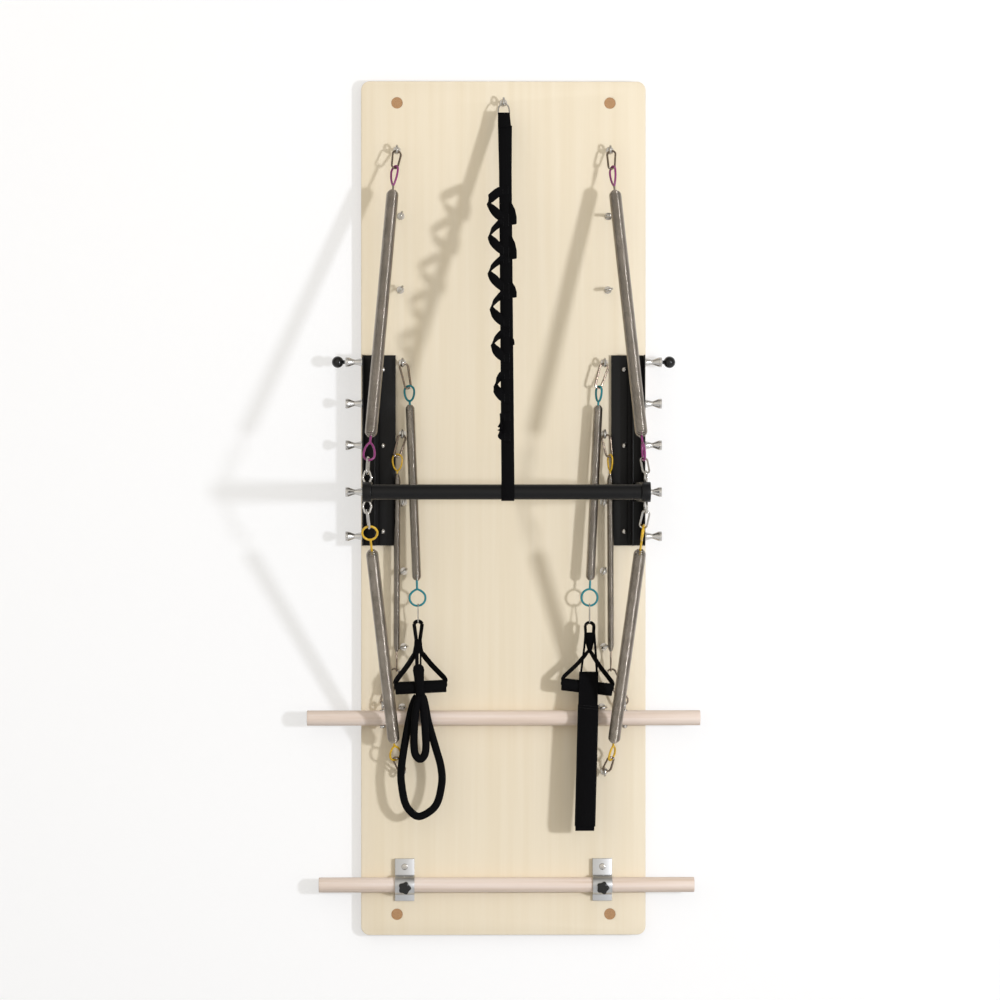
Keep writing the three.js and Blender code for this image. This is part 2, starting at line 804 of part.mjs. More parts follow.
function barArm(side) {
  const sign = sideSigns[side];
  const ends = [postDepth, barDepth].map((depth) => new THREE.Vector2(depth, pivotHeight));
  const plate = sidePlate(beltOutline(ends, armHeight / 2), sign * railCenter, armThickness);
  const hole = rod(
    at(sign * (armInner - cutOverrun), postDepth, pivotHeight),
    at(sign * (armInner + armThickness + cutOverrun), postDepth, pivotHeight),
    pinDiameter + 2 * pinRunningGap,
  );
  const body = joined([plate, armEye(side, 1), armEye(side, -1)]);
  return named(`bar_arm_${side}`, cut(body, [hole]), blackSatin());
}

// Headed pin through the rail's inner wall and the arm, into the post behind the outer wall
function pivotPin(side) {
  const sign = sideSigns[side];
  const headOuter = bracketOuter - railWidth - seatGap;
  const head = rod(
    at(sign * (headOuter - pinHeadThickness), postDepth, pivotHeight),
    at(sign * headOuter, postDepth, pivotHeight),
    pinHeadDiameter,
  );
  const shank = rod(
    at(sign * (headOuter - pinHeadThickness / 2), postDepth, pivotHeight),
    at(sign * (bracketOuter + pinSeatDepth), postDepth, pivotHeight),
    pinDiameter,
  );
  return named(`pivot_pin_${side}`, joined([head, shank]), chrome());
}

// A point from one towards another, a given distance on
function towards(from, to, distance) {
  return from.clone().addScaledVector(to.clone().sub(from).normalize(), distance);
}

// An eye bolt's ring as something a hook hangs in
function eyeRing(center) {
  const path = Array.from({ length: linkSteps + 1 }, (_, i) => {
    const angle = (2 * Math.PI * i) / linkSteps;
    return center.clone().add(new THREE.Vector3(0, Math.cos(angle), Math.sin(angle))
      .multiplyScalar(eyeRingDiameter / 2));
  });
  return { path, center, wire: eyeWire, height: eyeRingDiameter / 2, depth: 0 };
}

function linkNode(name, held, past) {
  return named(name, tidied(wireLoop(held.path(past), held.normal, held.wire)), chrome());
}

// A hook, a spring and a second hook or link, from one ring through two joints to another ring
function springChain(names, rings, joints, size, hooks, ends) {
  const axis = joints[1].clone().sub(joints[0]).normalize();
  const back = axis.clone().negate();
  const first = hungLink(rings[0], joints[0], hooks[0]);
  const second = hungLink(rings[1], joints[1], hooks[1]);
  const near = settle(first, hungEnd(joints[0], axis, across(axis, ends.near.turn), size.wire, ends.near));
  const far = settle(second, hungEnd(joints[1], back, across(axis, ends.far.turn), size.wire, ends.far));
  return [
    linkNode(names[0], first, near),
    springNode(
      names[1],
      towards(joints[0], joints[1], -near),
      towards(joints[1], joints[0], -far),
      size,
      ends,
    ),
    linkNode(names[2], second, far),
  ];
}

const heavySize = { diameter: heavyDiameter, wall: heavyWall, wire: heavyWire, curls: heavyCurls };
const pullSize = { diameter: pullDiameter, wall: pullWall, wire: pullWire, curls: pullCurls };
const rollSize = { diameter: rollDiameter, wall: rollWall, wire: rollWire, curls: rollCurls };

// Heights and widths are kept of the loop's centre line. Turns are about the spring's axis, in radians.
const loopEnd = (width, height, wire, stem, turn) => (
  { width: width - wire, height: height - wire, stem, turn });
const heavyEnd = (turn) => loopEnd(heavyLoopWidth, heavyLoopHeight, heavyWire, heavyStem, turn);

// Turns of hooks and loops on each side, as the photographed pieces happen to hang
const hangTurns = {
  left: {
    hook: -0.3, upperLoop: 0.9, lowerLoop: 0.5, barLoop: 0, barLink: 1.35,
    pullHook: -0.3, pullLoop: 0.45, rollHook: -0.35, rollLoop: 0.4,
  },
  right: {
    hook: 0.2, upperLoop: 1.1, lowerLoop: 1, barLoop: 1.4, barLink: 0.3,
    pullHook: -0.25, pullLoop: 1.05, rollHook: 0.2, rollLoop: 1.15,
  },
};

const snapHook = (turn) => ({ width: hookWidth, wire: hookWire, pearShare: hookPearShare, turn });
const barLink = (turn) => ({ width: barLinkWidth, wire: hookWire, turn });

// Upper heavy spring with its snap hook at the board and its link at the arm
function upperSpring(side) {
  const turns = hangTurns[side];
  const eye = eyeCenter(sideSigns[side] * (eyeColumn + topEyeShift), eyeUpperShare);
  const ring = armRing(side, 1);
  return springChain(
    [`upper_snap_hook_${side}`, `upper_spring_${side}`, `upper_bar_link_${side}`],
    [eyeRing(eye), ring],
    [towards(eye, ring.center, upperHookLength), towards(ring.center, eye, barLinkLength)],
    heavySize,
    [snapHook(turns.hook), barLink(turns.barLink)],
    {
      near: loopEnd(heavyLoopWidth, upperLoopHeight, heavyWire, heavyStem, turns.upperLoop),
      far: heavyEnd(turns.barLoop),
    },
  );
}

function lowerSpring(side) {
  const sign = sideSigns[side];
  const turns = hangTurns[side];
  const eye = eyeCenter(sign * eyeColumn, eyeLowerShare);
  const ring = armRing(side, -1);
  const rise = lowerHookRise / (ring.center.z - eye.z);
  const joint = eye.clone().lerp(ring.center, rise).setX(sign * (eyeColumn + lowerHookShift));
  return springChain(
    [`lower_snap_hook_${side}`, `lower_spring_${side}`, `lower_bar_link_${side}`],
    [eyeRing(eye), ring],
    [joint, towards(ring.center, joint, lowerLinkLength)],
    heavySize,
    [snapHook(turns.hook), barLink(turns.barLink)],
    {
      near: loopEnd(heavyLoopWidth, heavyLoopHeight, heavyWire, heavyHookStem, turns.lowerLoop),
      far: loopEnd(lowerLoopWidth, lowerLoopHeight, heavyWire, heavyStem, turns.barLoop),
    },
  );
}

// Roll-down bar: a dowel with two eye bolts through it and a domed nut under each
function rollDownBar() {
  const height = rollBarShare * halfHeight;
  const half = rollBarLength / 2;
  const [left, right] = [-half, half].map((x) => at(x, eyeStandOff, height));
  const parts = [rod(left, right, dowelDiameter, roundSides)];
  for (const sign of [-1, 1]) {
    const x = sign * (eyeColumn + rollEyeShift);
    parts.push(new THREE.TorusGeometry(eyeRingDiameter / 2, eyeWire / 2, linkSides, linkSteps)
      .rotateY(Math.PI / 2)
      .translate(x, boardFront - eyeStandOff, rollEyeHeight()));
    parts.push(rod(
      at(x, eyeStandOff, rollEyeHeight() - eyeRingDiameter / 2),
      at(x, eyeStandOff, height - dowelDiameter / 2 - rollNutRise / 2),
      eyeShankDiameter,
      linkSides,
    ));
    const nut = [
      [0, -rollNutRise / 2],
      [rollNutDiameter / 2, -rollNutRise / 2],
      [rollNutDiameter / 2, rollNutRise / 2],
      [rollNutDiameter / 4, rollNutRise],
      [0, rollNutRise],
    ];
    parts.push(turned(nut, at(x, eyeStandOff, height - dowelDiameter / 2), new THREE.Vector3(0, 0, -1)));
  }
  return named('roll_down_bar', joined(parts), paleWood());
}

function rollEyeHeight() {
  return rollBarShare * halfHeight + dowelDiameter / 2 + (eyeRingDiameter + eyeWire) / 2;
}

// Thin spring between a board eye bolt and one in the roll-down bar
function rollSpring(side) {
  const sign = sideSigns[side];
  const turns = hangTurns[side];
  const eye = eyeCenter(sign * eyeColumn, eyeRollShare);
  const near = at(sign * (eyeColumn + rollHookShift), eyeStandOff, eye.z - rollHookDrop);
  const far = at(sign * (eyeColumn + rollEndShift), eyeStandOff, rollEyeHeight() + rollEndRise);
  return springChain(
    [`roll_down_top_hook_${side}`, `roll_down_spring_${side}`, `roll_down_bar_hook_${side}`],
    [eyeRing(eye), eyeRing(at(sign * (eyeColumn + rollEyeShift), eyeStandOff, rollEyeHeight()))],
    [near, far],
    rollSize,
    [snapHook(turns.rollHook), { width: dowelHookWidth, wire: hookWire, turn: 0 }],
    {
      near: loopEnd(rollLoopWidth, rollLoopHeight, rollWire, rollStem, turns.rollLoop),
      far: loopEnd(rollHookEndWidth, rollHookEndHeight, rollWire, rollStem, Math.PI / 2),
    },
  );
}

// Ladder strap: sewn round the ring at the top and round the bar, with a row of hand loops
function strapAxis() {
  const top = at(strapColumn, eyeStandOff, eyeCenterShare * halfHeight);
  const end = at(strapColumn, barDepth, pivotHeight);
  const wrap = barDiameter / 2 + seatGap + strapThickness / 2;
  const swing = Math.asin(wrap / top.distanceTo(end));
  const straight = end.clone().sub(top);
  const axis = straight.clone().normalize().applyAxisAngle(new THREE.Vector3(1, 0, 0), -swing);
  const front = axis.clone().cross(new THREE.Vector3(1, 0, 0));
  return { top, axis, front, length: straight.length() * Math.cos(swing) };
}

// How far the ring's first wire lies from the centre of the eye bolt's ring
function dRingStart() {
  return eyeInnerRadius - dRingWire / 2 - hookGap - seatGap;
}

function dRing() {
  const { top, axis } = strapAxis();
  const center = top.clone().setX(0);
  const half = (dRingWidth - dRingWire) / 2;
  const start = dRingStart();
  const end = start + dRingHeight - dRingWire;
  const shoulder = start + (dRingHeight - dRingWire) / 2;
  const outline = [
    [-half / 2, start + dRingWire / 2], [0, start], [half / 2, start + dRingWire / 2], [half, shoulder],
    [half, end], [0, end], [-half, end], [-half, shoulder],
  ];
  const points = outline.map(([x, along]) => center.clone()
    .add(new THREE.Vector3(x, 0, 0))
    .addScaledVector(axis, along));
  const normal = axis.clone().cross(new THREE.Vector3(1, 0, 0));
  return named('strap_d_ring', tidied(wireLoop(points, normal, dRingWire)), chrome());
}

// A strip of webbing through centres, each with a direction along its width
function ribbon(centres, sides, width, thickness) {
  const rings = centres.map((centre, i) => {
    const next = centres[Math.min(i + 1, centres.length - 1)];
    const before = centres[Math.max(i - 1, 0)];
    const side = sides[i].clone().multiplyScalar(width / 2);
    const out = sides[i].clone().cross(next.clone().sub(before)).normalize().multiplyScalar(thickness / 2);
    return [
      centre.clone().sub(side).sub(out),
      centre.clone().add(side).sub(out),
      centre.clone().add(side).add(out),
      centre.clone().sub(side).add(out),
    ];
  });
  return skinThrough(rings, false);
}

function ladderStrap() {
  const { top, axis, front, length } = strapAxis();
  const barOfRing = dRingStart() + dRingHeight - dRingWire;
  const onStrap = (along, out, aside) => top.clone()
    .addScaledVector(axis, along)
    .addScaledVector(front, out)
    .add(new THREE.Vector3(aside, 0, 0));
  const foldRadius = dRingWire / 2 + 2 * seatGap;
  const fold = belt(
    [new THREE.Vector2(0, 0), new THREE.Vector2(strapFoldLength, 0)],
    foldRadius,
    strapThickness / 2,
    strapFoldWidth,
  );
  const foldPlace = new THREE.Matrix4().makeBasis(axis, front, axis.clone().cross(front));
  foldPlace.setPosition(onStrap(barOfRing, 0, -strapColumn));
  const flat = new THREE.Vector3(1, 0, 0);
  const ends = [onStrap(barOfRing + strapFoldLength, 0, 0), onStrap(length, 0, 0)];
  const strip = ribbon(ends, [flat, flat], strapWidth, strapThickness);
  const wrapPlace = new THREE.Matrix4().makeRotationY(Math.PI / 2)
    .setPosition(at(strapColumn, barDepth, pivotHeight));
  const wrapCircle = beltCircle(barDiameter / 2 + seatGap, strapThickness, strapWidth);
  const aside = flat.clone().multiplyScalar(strapLoopTurnShares.right)
    .addScaledVector(front, strapLoopTurnShares.front)
    .addScaledVector(axis, -strapLoopTurnShares.up);
  const loops = strapLoopAsideShares.map((asideShare, i) => {
    const first = length * (strapLoopFirstShare + i * strapLoopPitchShare);
    return strapLoop(onStrap, first, length * strapLoopSpanShare, asideShare, aside);
  });
  const parts = [fold.applyMatrix4(foldPlace), strip, wrapCircle.applyMatrix4(wrapPlace), ...loops];
  return named('ladder_strap', joined(parts), blackWebbing());
}

// One hand loop: it leaves the strap, bulges forward and to the left while it turns aside, and is sewn down.
function strapLoop(onStrap, first, span, asideShare, aside) {
  const centres = [];
  const sides = [];
  for (let i = 0; i <= handLoopSteps; i += 1) {
    const share = i / handLoopSteps;
    const bulge = Math.sin(Math.PI * share);
    centres.push(onStrap(
      first + span * share,
      strapThickness / 2 + strapLoopForward * bulge,
      -strapLoopAside * asideShare * bulge,
    ));
    sides.push(new THREE.Vector3(1, 0, 0).lerp(aside, bulge).normalize());
  }
  return ribbon(centres, sides, strapWidth - strapThickness, strapLoopThickness);
}

function beltCircle(radius, thickness, width) {
  const shape = new THREE.Shape().absarc(0, 0, radius + thickness, 0, 2 * Math.PI, false);
  shape.holes.push(new THREE.Path().absarc(0, 0, radius, 0, 2 * Math.PI, true));
  return new THREE.ExtrudeGeometry(shape, { depth: width, bevelEnabled: false, curveSegments: smallSides })
    .translate(0, 0, -width / 2);
}

// Handle springs hang from their eye bolts in leaning groups, whose origin is the eye bolt's ring.
function hanging(side, inward, drop, forward = 0) {
  return new THREE.Vector3(-sideSigns[side] * inward, -forward, -drop);
}

// Drops below the pull eye bolts. The grip hangs a little above and in front of the roll-down bar.
function gripAxisDrop() {
  return (eyePullShare - rollBarShare) * halfHeight - gripRise;
}

function handleEyeDrop() {
  return gripAxisDrop() + gripCenter('left').y;
}

function linkFootDrop() {
  return handleEyeDrop() - webEyeRadius + handleLinkWire / 2 + hookGap + seatGap;
}

function pullRingDrop() {
  return linkFootDrop() + handleLinkWire - handleLinkLength;
}

function pullLean() {
  return Math.asin((dowelDiameter / 2 + gripFront) / gripAxisDrop());
}

// Handle link: its narrow top hangs in the spring's ring and its straight foot carries the webbing.
function handleLinkPath(side, past) {
  const top = pullRingDrop() - past;
  const foot = linkFootDrop();
  const wide = (webWidth + handleLinkWire) / 2 + hookGap;
  const narrow = handleLinkWidth / 2;
  const shoulder = foot - handleLinkWire * 2;
  const outline = [[0, top], [narrow, top + handleLinkWire], [wide, shoulder], [wide, foot], [-wide, foot],
    [-wide, shoulder], [-narrow, top + handleLinkWire]];
  return outline.map(([forward, drop]) => hanging(side, pullRingShift, drop, forward));
}

function pullSpringNodes(side) {
  const turns = hangTurns[side];
  const joints = [hanging(side, pullHookShift, pullHookDrop), hanging(side, pullRingShift, pullRingDrop())];
  const axis = joints[1].clone().sub(joints[0]).normalize();
  const back = axis.clone().negate();
  const near = loopEnd(pullLoopWidth, pullLoopHeight, pullWire, pullStem, turns.pullLoop);
  const far = loopEnd(pullRingWidth, pullRingHeight, pullWire, pullRingStem, 0);
  const hook = hungLink(eyeRing(new THREE.Vector3()), joints[0], snapHook(turns.pullHook));
  const linkEnd = { path: (past) => handleLinkPath(side, past), wire: handleLinkWire };
  const nearPast = settle(hook, hungEnd(joints[0], axis, across(axis, near.turn), pullWire, near));
  const farPast = settle(linkEnd, hungEnd(joints[1], back, across(axis, far.turn), pullWire, far));
  const link = wireLoop(linkEnd.path(farPast), new THREE.Vector3(1, 0, 0), handleLinkWire);
  return [
    linkNode(`pull_spring_hook_${side}`, hook, nearPast),
    springNode(
      `pull_spring_${side}`,
      towards(joints[0], joints[1], -nearPast),
      towards(joints[1], joints[0], -farPast),
      pullSize,
      { near, far },
    ),
    named(`handle_link_${side}`, tidied(link), chrome()),
  ];
}

// Where a grip's axis lies in its handle, whose origin is the centre of the webbing's small eye
function gripCenter(side) {
  const aside = sideSigns[side] * (pullRingShift - gripShift);
  return new THREE.Vector2(aside, webEyeRadius - webEyeDrop - gripDrop);
}

// Handle webbing: a small eye over a triangle whose base runs through the grip
function handleWebbing(side) {
  const crossing = new THREE.Vector2(0, webEyeRadius - webEyeDrop);
  const center = gripCenter(side);
  const half = gripLength / 2 + seatGap - webCornerRadius;
  const base = webCornerRadius + webThickness / 2;
  const shoulder = gripDiameter / 2 + webThickness;
  const tilt = -THREE.MathUtils.degToRad(handleTilts[side]);
  const corners = [[-half, shoulder], [-half, base], [half, base], [half, shoulder]].map(([x, z]) => (
    center.clone().add(new THREE.Vector2(x, z).rotateAround(new THREE.Vector2(), tilt))));
  const eyeCenters = [new THREE.Vector2(0, webEyeRadius).add(crossing), new THREE.Vector2()];
  const eye = belt(eyeCenters, webEyeRadius, webThickness, webWidth);
  const triangle = belt([crossing, ...corners], webCornerRadius, webThickness, webWidth);
  return named(`handle_webbing_${side}`, joined([eye, triangle]).rotateX(Math.PI / 2), blackWebbing());
}

function handleGrip(side) {
  const half = gripLength / 2;
  const inner = gripBore / 2;
  const outer = gripDiameter / 2;
  const profile = [[inner, -half], [outer, -half], [outer, half], [inner, half], [inner, -half]];
  const center = gripCenter(side);
  const geometry = turned(profile, new THREE.Vector3(), new THREE.Vector3(1, 0, 0), roundSides)
    .rotateY(THREE.MathUtils.degToRad(handleTilts[side]))
    .translate(center.x, 0, center.y);
  return named(`handle_grip_${side}`, tidied(geometry), blackFoam());
}

// Soft rope loops for a foot: the points are [toward the middle, below the neck], chosen by hand.
const bigLoopPoints = [[-6, -15], [-11, -45], [-18, -80], [-29, -122], [-38, -160], [-41, -205], [-31, -254],
  [4, -284], [38, -254], [52, -205], [51, -160], [40, -112], [20, -60], [6, -15]];
const smallLoopPoints = [[-6, -15], [-10, -55], [-12, -105], [-8, -140], [2, -152], [12, -140], [16, -105],
  [12, -55], [6, -15]];

function ropeLoop(points, steps, forward, neck) {
  const placed = points.map(([x, z]) => neck.clone().add(new THREE.Vector3(x, -forward, z)));
  const path = new THREE.CatmullRomCurve3(placed, true);
  const centres = path.getSpacedPoints(steps).slice(0, steps);
  return wireLoop(centres, new THREE.Vector3(0, 1, 0), ropeDiameter, ropeSides);
}

function footLoops() {
  const drop = gripAxisDrop();
  const neck = hanging('left', gripShift, drop + gripDiameter / 2 + seatGap);
  const band = beltCircle(gripDiameter / 2 + 3 * seatGap, webThickness, ropeDiameter)
    .rotateY(Math.PI / 2 + THREE.MathUtils.degToRad(handleTilts.left))
    .translate(neck.x, 0, -drop);
  const sleeveTop = neck.clone().add(new THREE.Vector3(0, 0, -webThickness / 2));
  const sleeveFoot = neck.clone().add(new THREE.Vector3(0, 0, bigLoopPoints[0][1]));
  return named('foot_loops_left', joined([
    band,
    rod(sleeveTop, sleeveFoot, ropeDiameter, ropeSides),
    ropeLoop(bigLoopPoints, ropeSteps, 0, neck),
    ropeLoop(smallLoopPoints, smallRopeSteps, ropeFrontShift, neck),
  ]), blackWebbing());
}

// A closed band of webbing along a path of [forward, up] pairs, as wide as given along X
function webbingBand(path, thickness, width) {
  const points = path.map(([forward, up]) => new THREE.Vector3(0, -forward, up));
  const half = new THREE.Vector3(width / 2, 0, 0);
  const rings = points.map((point, i) => {
    const next = points[(i + 1) % points.length].clone().sub(point).normalize();
    const before = point.clone().sub(points[(i + points.length - 1) % points.length]).normalize();
    const along = next.clone().add(before).normalize();
    const out = new THREE.Vector3(0, along.z, -along.y)
      .multiplyScalar(thickness / 2 / along.dot(next));
    return [
      point.clone().sub(half).sub(out),
      point.clone().add(half).sub(out),
      point.clone().add(half).add(out),
      point.clone().sub(half).add(out),
    ];
  });
  return skinThrough(rings, true);
}

// Wide foot strap: one flat loop of webbing over the grip, hanging a long way down
function footStrap() {
  const arcStep = Math.PI / smallSides;
  const over = (gripDiameter / 2 + 2 * seatGap + footStrapThickness / 2) / Math.cos(arcStep / 2);
  const path = Array.from({ length: smallSides + 1 }, (_, i) => (
    [over * Math.cos(i * arcStep), footStrapRise + over * Math.sin(i * arcStep)]));
  const apart = footStrapGap + footStrapThickness;
  const bend = apart / 2;
  path.push(
    [-over, 0],
    [over - 2 * apart, -gripDrop],
    [over - apart, bend - footStrapDrop],
    [over - bend, -footStrapDrop],
    [over, bend - footStrapDrop],
  );
  const geometry = webbingBand(path, footStrapThickness, footStrapWidth);

  // Its top lies along the tilted grip, and it hangs a little to one side.
  const slope = Math.tan(THREE.MathUtils.degToRad(handleTilts.right));
  const position = geometry.attributes.position;
  for (let i = 0; i < position.count; i += 1) {
    const [x, up] = [position.getX(i), position.getZ(i)];
    position.setX(i, x + footStrapLean * up);
    position.setZ(i, up - slope * x * Math.min(1, 1 + up / footStrapDrop));
  }
  const { x, y, z } = hanging('right', gripShift - footStrapShift, gripAxisDrop() + slope * footStrapShift);
  return named('foot_strap_right', tidied(geometry.translate(x, y, z)), blackWebbing());
}

// Foot bar and its clamps
function footBarHeight() {
  return footBarShare * halfHeight;
}

function footBarDepth() {
  return dowelDiameter / 2 + footBarGap;
}

function footBar() {
  const ends = [-1, 1].map((sign) => (
    at(footBarShift + (sign * footBarLength) / 2, footBarDepth(), footBarHeight())));
  return named('foot_bar', tidied(rod(ends[0], ends[1], dowelDiameter, roundSides)), paleWood());
}

function clampOutline() {
  const axis = footBarDepth();
  const inner = dowelDiameter / 2 + seatGap;
  const outer = inner + clampWall;
  const arc = (radius, from, to, steps) => Array.from({ length: steps + 1 }, (_, i) => {
    const angle = from + ((to - from) * i) / steps;
    return [axis + radius * Math.cos(angle), radius * Math.sin(angle)];
  });
  const topAngle = Math.acos((clampBlock - axis) / outer);
  const footAngle = Math.acos((clampFoot - axis) / outer);
  return [
    [seatGap, clampTopReach],
    [seatGap, inner],
    ...arc(inner, Math.PI / 2, -Math.PI / 2, smallSides),
    [seatGap, -inner],
    [seatGap, -clampBottomReach],
    [clampFoot, -clampBottomReach],
    ...arc(outer, -footAngle, topAngle, smallSides),
    [clampBlock, clampTopReach],
  ].map(([depth, z]) => new THREE.Vector2(depth, footBarHeight() + z));
}

function footClamp(side) {
  const x = sideSigns[side] * clampColumn;
  const body = sidePlate(clampOutline(), x, clampWidth);
  const archTop = dowelDiameter / 2 + seatGap + clampWall;
  const screwHeight = footBarHeight() + (archTop + clampTopReach) / 2;
  const screw = [
    [0, -clampScrewRise],
    [clampScrewDiameter / 2, -clampScrewRise],
    [clampScrewDiameter / 2, clampScrewRise / 2],
    [clampScrewDiameter / 4, clampScrewRise],
    [0, clampScrewRise],
  ];
  const head = turned(screw, at(x, clampBlock, screwHeight), new THREE.Vector3(0, -1, 0));
  const studHeight = footBarHeight() - starDrop;
  const hole = rod(
    at(x, footBarDepth(), studHeight),
    at(x, footBarDepth() + archTop + cutOverrun, studHeight),
    starStudDiameter + 2 * seatGap,
  );
  return named(`foot_clamp_${side}`, cut(joined([body, head]), [hole]), aluminium());
}

// Lobed clamping knob on a stud that presses on the bar
function starKnob(side) {
  const x = sideSigns[side] * clampColumn;
  const height = footBarHeight() - starDrop;
  const studTip = footBarDepth() + dowelDiameter / 2 + seatGap;
  const base = studTip + clampWall + 2 * seatGap;
  const points = starLobes * 6;
  const outline = Array.from({ length: points }, (_, i) => {
    const angle = (2 * Math.PI * i) / points;
    const radius = (starDiameter / 2) * (1 - starLobeShare * (1 - Math.cos(starLobes * angle)) / 2);
    return new THREE.Vector2(radius * Math.cos(angle), radius * Math.sin(angle));
  });
  const lobes = new THREE.Shape(outline);
  const head = new THREE.ExtrudeGeometry(lobes, { depth: starThickness, bevelEnabled: false })
    .rotateX(Math.PI / 2)
    .translate(x, boardFront - base, height);
  const stud = rod(at(x, studTip, height), at(x, base + starThickness / 2, height), starStudDiameter);
  return named(`star_knob_${side}`, joined([head, stud]), blackPlastic());
}

const group = new THREE.Group();
group.add(backboard(), ...eyeBolts(), pushBarTube(), dRing(), ladderStrap(), rollDownBar(), footBar());
for (const side of sideNames) {
  group.add(sideBracket(side), ballKnob(side), barArm(side), pivotPin(side));
  group.add(...upperSpring(side), ...lowerSpring(side), ...rollSpring(side));
  group.add(footClamp(side), starKnob(side));

  const leaning = new THREE.Group();
  leaning.position.copy(eyeCenter(sideSigns[side] * eyeColumn, eyePullShare));
  leaning.rotation.x = -pullLean();
  leaning.add(...pullSpringNodes(side));
  const handle = new THREE.Group();
  handle.position.copy(hanging(side, pullRingShift, handleEyeDrop()));
  handle.add(handleWebbing(side), handleGrip(side));
  leaning.add(handle, side === 'left' ? footLoops() : footStrap());
  group.add(leaning);
}

export default group;
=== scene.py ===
import json
import math

import bmesh
import bpy
import numpy as np
from mathutils import Matrix, Vector

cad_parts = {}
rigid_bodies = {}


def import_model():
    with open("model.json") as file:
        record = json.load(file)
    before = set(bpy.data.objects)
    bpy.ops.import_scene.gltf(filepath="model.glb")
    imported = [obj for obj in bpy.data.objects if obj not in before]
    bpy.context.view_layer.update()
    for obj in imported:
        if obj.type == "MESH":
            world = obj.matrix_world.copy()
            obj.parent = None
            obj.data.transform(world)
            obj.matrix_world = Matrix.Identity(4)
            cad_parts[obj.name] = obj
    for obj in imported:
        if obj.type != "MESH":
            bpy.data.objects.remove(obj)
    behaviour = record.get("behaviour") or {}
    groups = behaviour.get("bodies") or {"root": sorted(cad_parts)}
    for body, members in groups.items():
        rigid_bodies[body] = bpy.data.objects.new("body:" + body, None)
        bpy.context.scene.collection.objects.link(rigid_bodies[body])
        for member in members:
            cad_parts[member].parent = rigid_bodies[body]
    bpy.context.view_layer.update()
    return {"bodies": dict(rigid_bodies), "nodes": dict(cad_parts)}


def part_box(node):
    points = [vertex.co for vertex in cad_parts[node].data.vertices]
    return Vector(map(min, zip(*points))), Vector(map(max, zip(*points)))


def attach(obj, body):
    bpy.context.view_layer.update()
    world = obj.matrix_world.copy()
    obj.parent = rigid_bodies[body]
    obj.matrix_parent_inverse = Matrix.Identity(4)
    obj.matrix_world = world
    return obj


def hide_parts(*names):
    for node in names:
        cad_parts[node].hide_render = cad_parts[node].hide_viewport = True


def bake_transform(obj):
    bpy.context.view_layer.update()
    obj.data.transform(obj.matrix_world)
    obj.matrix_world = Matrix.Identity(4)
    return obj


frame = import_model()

# Wall-mounted pilates tower unit, in metres, +Z up. The board's front faces -Y.
sides = {"left": -1, "right": 1}
flat = np.array([1.0, 0, 0])
scene = bpy.context.scene
print("frame loaded:", len(frame["nodes"]), "nodes")


# Places read from the frame

def nodePoints(node):
    mesh = frame["nodes"][node].data
    points = np.empty(len(mesh.vertices) * 3)
    mesh.vertices.foreach_get("co", points)
    return points.reshape(-1, 3)


def boxMiddle(node):
    a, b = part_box(node)
    return np.array((a + b) / 2)


def unit(vector):
    return np.asarray(vector, float) / np.linalg.norm(vector)


def mainAxes(points):
    middle = points.mean(axis=0)
    return middle, np.linalg.svd(points - middle, full_matrices=False)[2]


# A flat wire piece's own frame: its middle, its long axis toward a point, its side and its extents
def wirePlace(node, toward):
    points = nodePoints(node)
    middle, (axis, side, normal) = mainAxes(points)
    if (np.asarray(toward) - middle) @ axis < 0:
        axis = -axis
    across = [(points - middle) @ direction for direction in (axis, side, normal)]
    centre = middle + sum((r.max() + r.min()) / 2 * d for r, d in zip(across, (axis, side, normal)))
    return {"centre": centre, "axis": axis, "side": side, "normal": normal,
            "length": np.ptp(across[0]), "width": np.ptp(across[1])}


# A spring's axis from top to bottom, read from its coil, and the planes of its two end loops
def springPlace(node, loopReach, coilShare=0.3):
    points = nodePoints(node)
    middle, axes = mainAxes(points)
    along = (points - middle) @ axes[0]
    middle, axes = mainAxes(points[np.abs(along) < coilShare * np.ptp(along)])
    axis = axes[0] if axes[0][2] < 0 else -axes[0]
    along = (points - middle) @ axis
    ends = []
    for near in (along < along.min() + loopReach, along > along.max() - loopReach):
        normal = mainAxes(points[near])[1][2]
        normal = unit(normal - (normal @ axis) * axis)
        ends.append(np.cross(axis, normal))
    return {"top": middle + along.min() * axis, "bottom": middle + along.max() * axis,
            "axis": axis, "sides": ends}


# Materials

# A screen color, 0 to 255, as the linear shares that the shaders take
def tint(color):
    shares = np.array(color) / 255
    return tuple(np.where(shares <= 0.04045, shares / 12.92, ((shares + 0.055) / 1.055) ** 2.4))


# A node with its values set or linked, where a list links several to one socket
def addNode(tree, kind, values=(), **settings):
    made = tree.nodes.new(kind)
    for name, value in settings.items():
        setattr(made, name, value)
    for name, value in dict(values).items():
        for one in value if isinstance(value, list) else [value]:
            if isinstance(one, bpy.types.NodeSocket):
                tree.links.new(one, made.inputs[name])
            else:
                made.inputs[name].default_value = one
    return made


